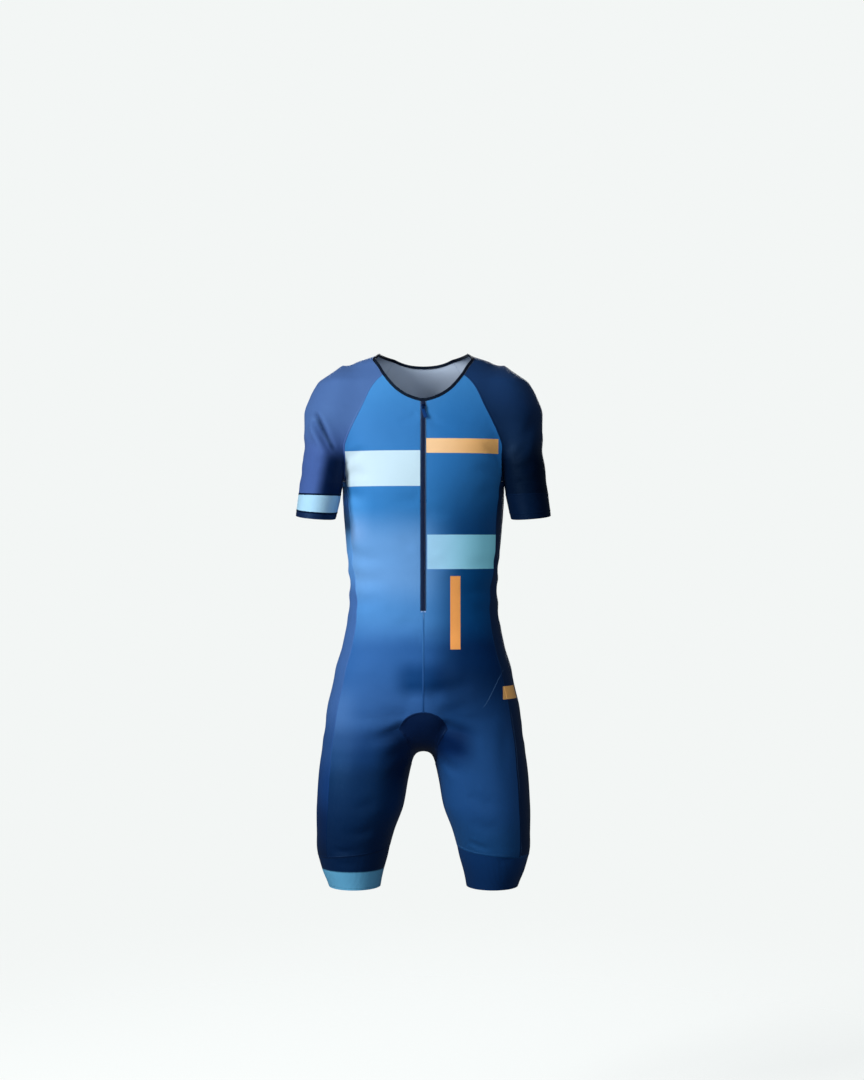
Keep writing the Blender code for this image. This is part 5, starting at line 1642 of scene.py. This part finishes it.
def cloth_shader(name, roughness=CLOTH_ROUGHNESS, gloss=CLOTH_GLOSS):
    return Shader(name, roughness, Sheen_Weight=CLOTH_SHEEN, Sheen_Roughness=SHEEN_ROUGHNESS,
                  Sheen_Tint=SHEEN_TINT, Specular_IOR_Level=gloss, Specular_Tint=GLOSS_TINT)


def plain_knit(name, colour, gloss=CLOTH_GLOSS, **finish):
    """Knit of one dye."""
    return knit_finish(cloth_shader(name, gloss=gloss), colour, **finish)


def height_colour(shader, z, stops):
    """A colour that changes smoothly with height, by (height, colour) stops from the top down."""
    colour = stops[0][1]
    for (upper, _), (lower, below) in zip(stops, stops[1:]):
        colour = shader.mix(shader.ramp(z, upper, lower), colour, below)
    return colour


def drifted(shader, z):
    """A height that wanders a little from place to place."""
    drift = shader.math("MULTIPLY_ADD", shader.noise(*DRIFT_NOISE), DYE_DRIFT, -DYE_DRIFT / 2)
    return shader.math("ADD", z, drift)


def front_knit(name, painted_light_and_shade, bands):
    """The fronts' printed knit: blue that deepens down the legs, with painted light and shade and bands of
    colour.
    """
    shader = cloth_shader(name)
    x, _, z = shader.place()
    height = drifted(shader, z)
    colour = shader.mix(shader.ramp(x, *FRONTS_MEET), height_colour(shader, height, RIGHT_FRONT_PRINT_AND_SHADING),
                        height_colour(shader, height, LEFT_FRONT_PRINT_AND_SHADING))
    # Painted light and shade, one tint at a time
    for across, down, end, tint in painted_light_and_shade:
        share = shader.math("MULTIPLY", shader.ramp(z, *down), shader.ramp(z, *end))
        for edge in zip(across[::2], across[1::2]):
            share = shader.math("MULTIPLY", share, shader.ramp(x, *edge))
        colour = shader.mix(share, colour, shader.mix(1.0, colour, tint, "MULTIPLY"))
    for x_limits, z_limits, inner, outer in bands:
        dye = shader.mix(shader.ramp(x, *x_limits), inner, outer)
        colour = shader.printed(colour, dye, x, x_limits, z, z_limits)
    return knit_finish(shader, colour, blotch=PRINTED_BLOTCH)


def back_knit(name, stops):
    """The knit of the back and the seat, dyed by height."""
    shader = cloth_shader(name)
    _, _, z = shader.place()
    return knit_finish(shader, height_colour(shader, drifted(shader, z), stops), blotch=PRINTED_BLOTCH)


def fold_shade(shader, x, y, z):
    """How much painted shade lies in the right sleeve's main fold: most along the fold's line, none at its
    ends.
    """
    start, end = (Vector(place) for place in SLEEVE_FOLD)
    along = (end - start).normalized()
    across = Vector((along.y, -along.x))

    def measured(direction):
        part = shader.math("MULTIPLY_ADD", x, direction.x, -start @ direction)
        return shader.math("MULTIPLY_ADD", z, direction.y, part)

    middle = (end - start).length / 2
    near = shader.ramp(shader.math("ABSOLUTE", measured(across)), SLEEVE_FOLD_HALF, 0.0)
    from_middle = shader.math("ABSOLUTE", shader.math("SUBTRACT", measured(along), middle))
    inside = shader.ramp(from_middle, middle, middle * SLEEVE_FOLD_FULL)
    front = shader.ramp(y, *SLEEVE_FOLD_FRONT)
    share = shader.math("MULTIPLY", shader.math("MULTIPLY", near, inside), front)
    return shader.math("MULTIPLY", share, SLEEVE_FOLD_SHARE)


def sleeve_knit(name, stops, dark=None):
    """A sleeve's knit: coloured by height with painted light and shade, and with painted shade towards the
    underarm and in the main fold where a shade colour is given.
    """
    shader = cloth_shader(name)
    x, y, z = shader.place()
    colour = height_colour(shader, z, stops)
    if dark:
        # Painted shade towards the underarm and in the main fold
        leaned = shader.math("MULTIPLY_ADD", shader.math("SUBTRACT", z, SLEEVE_LEAN_Z), -SLEEVE_LEAN, x)
        shade = shader.math("MULTIPLY", shader.ramp(leaned, *SLEEVE_ACROSS), shader.ramp(z, *SLEEVE_DOWN))
        colour = shader.mix(shade, colour, dark)
        colour = shader.mix(fold_shade(shader, x, y, z), colour, dark)
    change = CUFF_GLOSS - CLOTH_GLOSS
    gloss = shader.math("MULTIPLY_ADD", shader.ramp(z, *SLEEVE_MATT), change, CLOTH_GLOSS)
    shader.set("Specular IOR Level", gloss)
    return knit_finish(shader, colour)


def tabbed_colour(shader, stops, tab):
    """A colour by height, with a tab of colour where one is given."""
    _, y, z = shader.place()
    colour = height_colour(shader, z, stops)
    if not tab:
        return colour
    y_limits, z_limits, dye = tab
    return shader.printed(colour, dye, y, y_limits, z, z_limits)


def side_knit(name, stops, tab=None):
    """The side panels' dark knit."""
    shader = cloth_shader(name)
    return knit_finish(shader, tabbed_colour(shader, stops, tab))


def gripper_knit(name, stops):
    """The leg bands' ribbed elastic knit."""
    shader = cloth_shader(name, ELASTIC_ROUGHNESS)
    colour = tabbed_colour(shader, stops, None)
    across, _, _ = shader.cloth_place()
    ribs = shader.wave(across, RIB_PITCH)
    fibre = shader.math("MULTIPLY_ADD", shader.noise(*ELASTIC_NOISE), *ELASTIC_TONE)
    shade = shader.math("MULTIPLY_ADD", ribs, RIB_WEIGHT, fibre)
    return shader.finish(shader.shaded(colour, shade), shader.bump(ribs, RIB_RELIEF))


def thread_shader(name, stops):
    """Twisted sewing thread, in a dye that may change with height."""
    shader = Shader(name, THREAD_ROUGHNESS, Sheen_Weight=CLOTH_SHEEN, Specular_IOR_Level=THREAD_GLOSS,
                    Specular_Tint=GLOSS_TINT)
    colour = tabbed_colour(shader, stops, None)
    fibre = shader.noise(*THREAD_NOISE)
    shade = shader.math("MULTIPLY_ADD", fibre, *THREAD_TONE)
    return shader.finish(shader.shaded(colour, shade), shader.bump(fibre, THREAD_RELIEF))


def seam_shader(name, stops, gloss=CLOTH_GLOSS, tab=None):
    """A flat-locked seam: crossing threads over the two cut edges."""
    shader = cloth_shader(name, THREAD_ROUGHNESS, gloss)
    colour = tabbed_colour(shader, stops, tab)
    across, along, _ = shader.cloth_place()
    zigzag = shader.math("PINGPONG", shader.math("DIVIDE", along, LOCK_PITCH), 0.5)
    offset = shader.math("SUBTRACT", shader.math("DIVIDE", across, 2 * SEAM_HALF), zigzag)
    near = shader.math("ABSOLUTE", shader.math("WRAP", offset, LOCK_REACH, -LOCK_REACH))
    thread = shader.ramp(near, *LOCK_EDGE)
    shade = shader.math("MULTIPLY_ADD", thread, *LOCK_TONE)
    return shader.finish(shader.shaded(colour, shade), shader.bump(thread, LOCK_RELIEF))


def twill_shader(name, colour):
    """The zip's woven tape: fine slanting ribs."""
    shader = Shader(name, TAPE_ROUGHNESS, Sheen_Weight=TAPE_SHEEN, Specular_IOR_Level=HARD_GLOSS)
    across, along, _ = shader.cloth_place()
    ribs = shader.wave(shader.math("ADD", across, along), TWILL_PITCH)
    fibre = shader.math("MULTIPLY_ADD", shader.noise(*TAPE_NOISE), *TAPE_TONE)
    shade = shader.math("MULTIPLY_ADD", ribs, TWILL_WEIGHT, fibre)
    return shader.finish(shader.shaded(colour, shade), shader.bump(ribs, TWILL_RELIEF))


def enamel_shader(name, colour, metallic, roughness):
    """Painted metal or moulded plastic with fine texture and slightly worn tone."""
    shader = Shader(name, roughness, Metallic=metallic, Specular_IOR_Level=HARD_GLOSS,
                    Specular_Tint=GLOSS_TINT)
    grain = shader.noise(*GRAIN_NOISE)
    shade = shader.math("MULTIPLY_ADD", shader.noise(*TONE_NOISE), *WORN_TONE)
    return shader.finish(shader.shaded(colour, shade), shader.bump(grain, GRAIN_RELIEF))


# ---------------------------------------------------------------- seams, stitches and the zip


def spaced(points, normals, pitch):
    """Points, normals and directions at an even pitch along a line on the cloth."""
    lengths = along_line(points)
    count = max(2, int(lengths[-1] / pitch))
    wanted = np.linspace(0.0, lengths[-1], count + 1)
    place = sampled(points, lengths, wanted)
    normal = unit(sampled(normals, lengths, wanted))
    along = unit(square_to(np.gradient(place, axis=0), normal))
    return place, normal, along, wanted


def ribbon(mesh, points, normals):
    """Adds a seam's raised strip along a line on the cloth."""
    layer = mesh.loops.layers.uv.verify()
    place, normal, along, length = spaced(points, normals, RIBBON_PITCH)
    across = np.cross(along, normal)
    profile = [(SEAM_HALF * side, height) for side, height in SEAM_PROFILE]
    rows = []
    for i in range(len(place)):
        rows.append([mesh.verts.new(place[i] + across[i] * side + normal[i] * height - ORIGIN)
                     for side, height in profile])
    for i in range(len(rows) - 1):
        for j in range(len(profile) - 1):
            face = mesh.faces.new([rows[i][j], rows[i + 1][j], rows[i + 1][j + 1], rows[i][j + 1]])
            places = ((j, i), (j, i + 1), (j + 1, i + 1), (j + 1, i))
            for loop, (column, row) in zip(face.loops, places):
                loop[layer].uv = (profile[column][0], length[row])
            face.smooth = True


def stitch(mesh, centre, normal, along, length, radius):
    """Adds one sewn stitch: a short thread that dips into the cloth at both ends."""
    across = np.cross(along, normal)
    rings = []
    for share, size, lift in STITCH_RINGS:
        middle = centre + along * (share * length / 2) + normal * (lift * radius)
        around = [(across * math.cos(turn) + normal * math.sin(turn)) * size * radius
                  for turn in STITCH_TURNS]
        rings.append([mesh.verts.new(middle + offset - ORIGIN) for offset in around])
    for near, far in zip(rings, rings[1:]):
        for i in range(len(STITCH_TURNS)):
            j = (i + 1) % len(STITCH_TURNS)
            mesh.faces.new([near[i], near[j], far[j], far[i]]).smooth = True


def stitch_row(mesh, points, normals, side, radius, pitch=STITCH_PITCH, length=STITCH_LENGTH):
    """Adds a row of stitches beside a line on the cloth."""
    place, normal, along, _ = spaced(points, normals, pitch)
    across = np.cross(along, normal)
    for i in range(len(place) - 1):
        middle = (place[i] + place[i + 1]) / 2 + across[i] * side
        stitch(mesh, middle, normal[i], along[i], length, radius)


# ---------------------------------------------------------------- what each piece is made of


def shared(make, *args, **named):
    """A call that gives one material, made the first time."""
    made = []

    def give():
        if not made:
            made.append(make(*args, **named))
        return made[0]

    return give


CUFF_KNIT = shared(plain_knit, "knit_cuff", SHADED_CUFF_NAVY, gloss=CUFF_GLOSS)
BINDING_KNIT = shared(plain_knit, "binding_elastic", BLACK, pitch=BINDING_PITCH)
TAPE_TWILL = shared(twill_shader, "zip_twill", COIL_COLOUR)
DARK_THREAD = shared(thread_shader, "thread_dark", HEM_THREAD_DYE)
HIP_THREAD = shared(thread_shader, "thread_hip", HIP_THREAD_DYE)

# The size that each piece was cut to, and the area of that cut where it isn't the size's own
FRONT_CUT = ((0.29, 0.88), 0.112)
BACK_CUT = ((0.40, 0.41), 0.092)
SEAT_CUT = ((0.25, 0.53), 0.083)
SIDE_CUT = ((0.15, 0.70), 0.080)
SLEEVE_CUT = ((0.39, 0.33), 0.079)
SLEEVE_BAND_CUT = ((0.28, 0.03), None)
SLEEVE_HEM_CUT = ((0.27, 0.011), None)
LEG_BAND_CUT = ((0.38, 0.066), None)
GUSSET_CUT = ((0.09, 0.33), 0.0185)
BINDING_CUT = ((0.50, 0.011), None)
TAPE_CUT = ((0.011, 0.375), 0.0021)

# Node: its material, the record's slot, and its cut
SHEETS = {
    "front_right": (shared(front_knit, "knit_front_right", RIGHT_PAINTED_LIGHT_AND_SHADE, RIGHT_BANDS), "blue_knit",
                    FRONT_CUT),
    "front_left": (shared(front_knit, "knit_front_left", LEFT_PAINTED_SHADE, LEFT_BANDS), "blue_knit", FRONT_CUT),
    "back": (shared(back_knit, "knit_back", BACK_DYE), "blue_knit", BACK_CUT),
    "seat_right": (shared(back_knit, "knit_seat_right", SEAT_DYE), "navy_knit", SEAT_CUT),
    "seat_left": (shared(back_knit, "knit_seat_left", SEAT_DYE), "navy_knit", SEAT_CUT),
    "side_right": (shared(side_knit, "knit_side_right", RIGHT_SIDE_PAINTED_LIGHT_AND_SHADE), "deep_navy_knit", SIDE_CUT),
    "side_left": (shared(side_knit, "knit_side_left", LEFT_SIDE_DYE, SIDE_TAB), "deep_navy_knit", SIDE_CUT),
    "sleeve_right": (shared(sleeve_knit, "knit_sleeve_right", RIGHT_SLEEVE_PAINTED_LIGHT_AND_SHADE, DEEP_NAVY), "navy_knit",
                     SLEEVE_CUT),
    "sleeve_left": (shared(sleeve_knit, "knit_sleeve_left", LEFT_SLEEVE_PAINTED_SHADE), "navy_knit", SLEEVE_CUT),
    "sleeve_band_right": (shared(plain_knit, "knit_light_blue", LIGHT_BLUE), "light_blue_knit",
                          SLEEVE_BAND_CUT),
    "sleeve_band_left": (CUFF_KNIT, "navy_knit", SLEEVE_BAND_CUT),
    "sleeve_hem_right": (shared(plain_knit, "knit_hem", DEEP_NAVY), "deep_navy_knit", SLEEVE_HEM_CUT),
    "sleeve_hem_left": (CUFF_KNIT, "deep_navy_knit", SLEEVE_HEM_CUT),
    "leg_band_right": (shared(gripper_knit, "gripper_right", RIGHT_BAND_DYE), "light_blue_elastic",
                       LEG_BAND_CUT),
    "leg_band_left": (shared(gripper_knit, "gripper_left", LEFT_BAND_DYE), "navy_elastic", LEG_BAND_CUT),
    "crotch_gusset": (shared(plain_knit, "knit_gusset", DEEP_NAVY), "deep_navy_knit", GUSSET_CUT),
    "neck_binding": (BINDING_KNIT, "black_binding", BINDING_CUT),
    "zip_tape_right": (TAPE_TWILL, "zip_tape", TAPE_CUT),
    "zip_tape_left": (TAPE_TWILL, "zip_tape", TAPE_CUT),
}
# These show one material on both faces; the others' wrong side is pale
SAME_BOTH_SIDES = ("neck_binding", "zip_tape_right", "zip_tape_left")


def both(*names):
    """Names of lines on both sides."""
    return [f"{name}_{side}" for name in names for side in ("right", "left")]


def beside(distance, *names):
    """Rows beside lines of both sides; a mirrored line's rows lie on its other hand."""
    hands = (("right", 1), ("left", -1))
    return [(f"{name}_{side}", hand * distance) for name in names for side, hand in hands]


# Seams: material name, colours by height, other values of the material, slot and the lines that they follow
SEAMS = {
    "seams_sleeve_right": ("seam_sleeve_right", RIGHT_SLEEVE_PAINTED_LIGHT_AND_SHADE, {}, "navy_knit",
                           ["raglan_front_right", "raglan_back_right"]),
    "seams_sleeve_left": ("seam_sleeve_left", LEFT_SLEEVE_PAINTED_SHADE, {}, "navy_knit",
                          ["raglan_front_left", "raglan_back_left"]),
    "seams_bands": ("seam_bands", ((0.0, SHADED_CUFF_NAVY),), {"gloss": CUFF_GLOSS}, "deep_navy_knit",
                    both("sleeve_band", "sleeve_edge")),
    "seams_side_right": ("seam_side_right", RIGHT_SIDE_PAINTED_LIGHT_AND_SHADE, {}, "deep_navy_knit",
                         ["side_front_right", "side_back_right", "leg_band_right"]),
    "seams_side_left": ("seam_side_left", LEFT_SIDE_DYE, {"tab": SIDE_TAB}, "deep_navy_knit",
                        ["side_front_left", "side_back_left"]),
    "seams_leg_left": ("seam_leg_left", LEFT_LEG_SEAM_DYE, {}, "navy_knit", ["leg_band_left"]),
    "seams_front": ("seam_front", FRONT_SEAM_PRINT_AND_SHADING, {}, "blue_knit", ["centre_front_left"]),
    "seams_seat": ("seam_seat", SEAT_DYE, {}, "navy_knit", ["centre_back_left", *both("waist", "inseam")]),
    "seams_gusset": ("seam_gusset", ((0.0, DEEP_NAVY),), {}, "deep_navy_knit",
                     both("gusset_front", "gusset_back")),
}
# A line of pale stitching across the left hip: places seen from the front, from the top down
HIP_LINE = ((0.1435, -0.543), (0.131, -0.565), (0.117, -0.592), (0.1065, -0.607))
HIP_LINE_STEPS = 9
# Rows of stitches: material, slot, the thread's radius, and lines with how far to the side the rows lie
STITCHING = {
    "stitching_zip": (shared(thread_shader, "thread_zip", ZIP_THREAD_PAINTED_HIGHLIGHT), "blue_knit", THICK_THREAD,
                      beside(-0.0010, "zip_edge")),
    "stitching_neck": (DARK_THREAD, "navy_knit", FINE_THREAD, beside(0.0020, "neck")),
    "stitching_left_leg": (shared(thread_shader, "thread_leg", LEG_THREAD_DYE), "navy_knit", FINE_THREAD,
                           [("leg_band_left", -0.0028), ("side_front_left", -0.0030)]),
    "stitching_hems": (DARK_THREAD, "navy_knit", FINE_THREAD, beside(0.0040, "sleeve_hem", "leg_hem")),
}


def coil(mesh, points, normals):
    """Adds the zip's closed coil: two rows of loops that mesh along the middle line."""
    place, normal, along, _ = spaced(points, normals, COIL_PITCH)
    across = np.cross(along, normal)
    for i in range(len(place) - 1):
        for side, shift in ((-1, 0.0), (1, 0.5)):
            middle = place[i] + (place[i + 1] - place[i]) * shift
            middle = middle + across[i] * side * COIL_OFFSET + normal[i] * COIL_LIFT
            stitch(mesh, middle, normal[i], across[i], COIL_LENGTH, COIL_RADIUS)


# ---------------------------------------------------------------- the pieces


def cloth(net, normals):
    """Every cut piece of cloth: its node and materials, and the size it was cut to."""
    inside = plain_knit("knit_wrong_side", WRONG_SIDE, relief=WRONG_SIDE_RELIEF)
    made = []
    for node, (material, slot, cut) in SHEETS.items():
        thickness, proud = (BINDING_THICKNESS, BINDING_PROUD) if node == "neck_binding" else (KNIT, 0.0)
        mesh = wall(net, node, normals, thickness, proud)
        back = material() if node in SAME_BOTH_SIDES else inside
        piece = make_object(f"cloth_{node}", mesh, (material(), back))
        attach(piece, BODY)
        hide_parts(node)
        made.append((piece, cut))
    return made


def add_trim(name, mesh, material):
    """Trim as a piece of the scene, on the suit's body."""
    piece = make_object(name, mesh, (material,), smooth=False)
    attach(piece, BODY)


def line_of(net, normals, name):
    """The points and normals of a named line on the net."""
    numbers = net.lines[name]
    return np.array(net.points)[numbers], normals[numbers]


def seams(net, normals):
    """The flat-locked seams, each set as one piece."""
    for piece_name, (material_name, dye, values, slot, lines) in SEAMS.items():
        mesh = bmesh.new()
        for name in lines:
            ribbon(mesh, *line_of(net, normals, name))
        add_trim(piece_name, mesh, seam_shader(material_name, dye, **values))


def stitching(net, normals):
    """The rows of sewing thread that show beside edges."""
    for piece_name, (material, slot, radius, rows) in STITCHING.items():
        mesh = bmesh.new()
        for name, side in rows:
            stitch_row(mesh, *line_of(net, normals, name), side, radius)
        add_trim(piece_name, mesh, material())


def hip_line(net):
    """The pale line of stitching on the left hip, laid on the creased cloth."""
    tree = BVHTree.FromPolygons([tuple(point) for point in net.points], net.faces)
    places, normals = [], []
    for point in seen_points("front", bent_places(HIP_LINE)):
        place, normal, _, _ = tree.find_nearest(point)
        places.append(place)
        normals.append(normal if normal.y < 0 else -normal)
    mesh = bmesh.new()
    stitch_row(mesh, np.array(places), np.array(normals), 0.0, THICK_THREAD)
    add_trim("stitching_hip", mesh, HIP_THREAD())


def bent_places(places):
    """More places along a line of places, on one smooth curve."""
    places = np.array(places)
    last = len(places) - 1
    t = np.linspace(0.0, last, HIP_LINE_STEPS * len(places))
    rounded = [np.polyval(np.polyfit(range(len(places)), column, last), t) for column in places.T]
    return np.stack(rounded, axis=-1)


def zip_end(net, normals):
    """The tack across the zip's lower end, and the row of stitches below it."""
    points, outward = line_of(net, normals, "zip_middle_left")
    place, normal = points[-1], outward[-1]
    along = unit(points[-1] - points[-2])
    across = np.cross(along, normal)
    mesh = bmesh.new()
    for i in range(TACK_THREADS):
        shift = (i / (TACK_THREADS - 1) - 0.5) * TACK_WIDTH
        middle = place + across * shift + along * TACK_DROP
        stitch(mesh, middle, normal, along, TACK_HEIGHT, TACK_RADIUS)
    below, below_normals = line_of(net, normals, "centre_front_left")
    shown = along_line(below) < TACK_ROW
    stitch_row(mesh, below[shown], below_normals[shown], 0.0, THICK_THREAD, TACK_ROW_PITCH, TACK_ROW_STITCH)
    add_trim("zip_end_tack", mesh, thread_shader("tack_thread", ((0.0, TACK_COLOUR),)))


def zip_parts(net, normals):
    """The zip's coil, the tack at its end, and finishes for the slider and the pull."""
    mesh = bmesh.new()
    coil(mesh, *line_of(net, normals, "zip_middle_left"))
    add_trim("zip_coil", mesh, enamel_shader("coil_nylon", COIL_COLOUR, 0.0, COIL_ROUGHNESS))
    zip_end(net, normals)
    for node, name, colour, metallic, roughness in HARDWARE:
        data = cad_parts[node].data
        data.materials.clear()
        data.materials.append(enamel_shader(name, colour, metallic, roughness))


# ---------------------------------------------------------------- the studio


def world_light():
    """Dim light from all round, and the pale backdrop that the camera sees."""
    world = bpy.data.worlds.new("studio")
    world.use_nodes = True
    bpy.context.scene.world = world
    tree = world.node_tree
    tree.nodes.clear()
    seen = tree.nodes.new("ShaderNodeBackground")
    seen.inputs["Color"].default_value = opaque(BACKDROP)
    lit = tree.nodes.new("ShaderNodeBackground")
    lit.inputs["Color"].default_value = opaque(AMBIENT_COLOUR)
    lit.inputs["Strength"].default_value = AMBIENT
    ray = tree.nodes.new("ShaderNodeLightPath")
    mixed = tree.nodes.new("ShaderNodeMixShader")
    output = tree.nodes.new("ShaderNodeOutputWorld")
    tree.links.new(ray.outputs["Is Camera Ray"], mixed.inputs[0])
    tree.links.new(lit.outputs[0], mixed.inputs[1])
    tree.links.new(seen.outputs[0], mixed.inputs[2])
    tree.links.new(mixed.outputs[0], output.inputs["Surface"])


def lamps():
    """Soft lamps, each turned towards its target."""
    for name, place, target, size, power, tint in LIGHTS:
        data = bpy.data.lights.new(name, "AREA")
        data.shape = "RECTANGLE"
        data.size, data.size_y = size
        data.energy = power
        data.color = tint
        lamp = bpy.data.objects.new(name, data)
        lamp.location = place
        aim = Vector(target) - Vector(place)
        lamp.rotation_euler = aim.to_track_quat("-Z", "Y").to_euler()
        bpy.context.scene.collection.objects.link(lamp)


def ground():
    """A pale floor that fades into the backdrop."""
    mesh = bmesh.new()
    bmesh.ops.create_circle(mesh, cap_ends=True, segments=FLOOR_SEGMENTS, radius=FLOOR_RADIUS)
    bmesh.ops.translate(mesh, vec=(0.0, 0.0, FLOOR_Z), verts=mesh.verts)
    shader = Shader("floor_paint", FLOOR_ROUGHNESS, Emission_Color=BACKDROP, Emission_Strength=FLOOR_GLOW)
    x, y, _ = shader.place()
    squares = shader.math("ADD", shader.math("MULTIPLY", x, x), shader.math("MULTIPLY", y, y))
    distance = shader.math("SQRT", squares)
    shader.set("Alpha", shader.ramp(distance, FLOOR_RADIUS, FLOOR_RADIUS * FLOOR_SOLID))
    floor = make_object("studio_floor", mesh, (shader.finish(FLOOR_COLOUR),), smooth=False)
    floor.visible_diffuse = False
    floor.visible_glossy = False


def camera():
    """The camera, level and straight ahead."""
    data = bpy.data.cameras.new("camera")
    data.lens = LENS
    data.sensor_width = SENSOR_WIDTH
    data.sensor_fit = "AUTO"
    made = bpy.data.objects.new("camera", data)
    made.location = CAMERA_PLACE
    made.rotation_euler = (math.pi / 2, 0.0, 0.0)
    bpy.context.scene.collection.objects.link(made)
    bpy.context.scene.camera = made
    bpy.context.scene.view_settings.view_transform = "Standard"


def main():
    net = half_net().mirrored()
    fold(net)
    crease(net)
    normals = point_normals(net)
    made = cloth(net, normals)
    seams(net, normals)
    stitching(net, normals)
    hip_line(net)
    zip_parts(net, normals)
    world_light()
    lamps()
    ground()
    camera()


main()
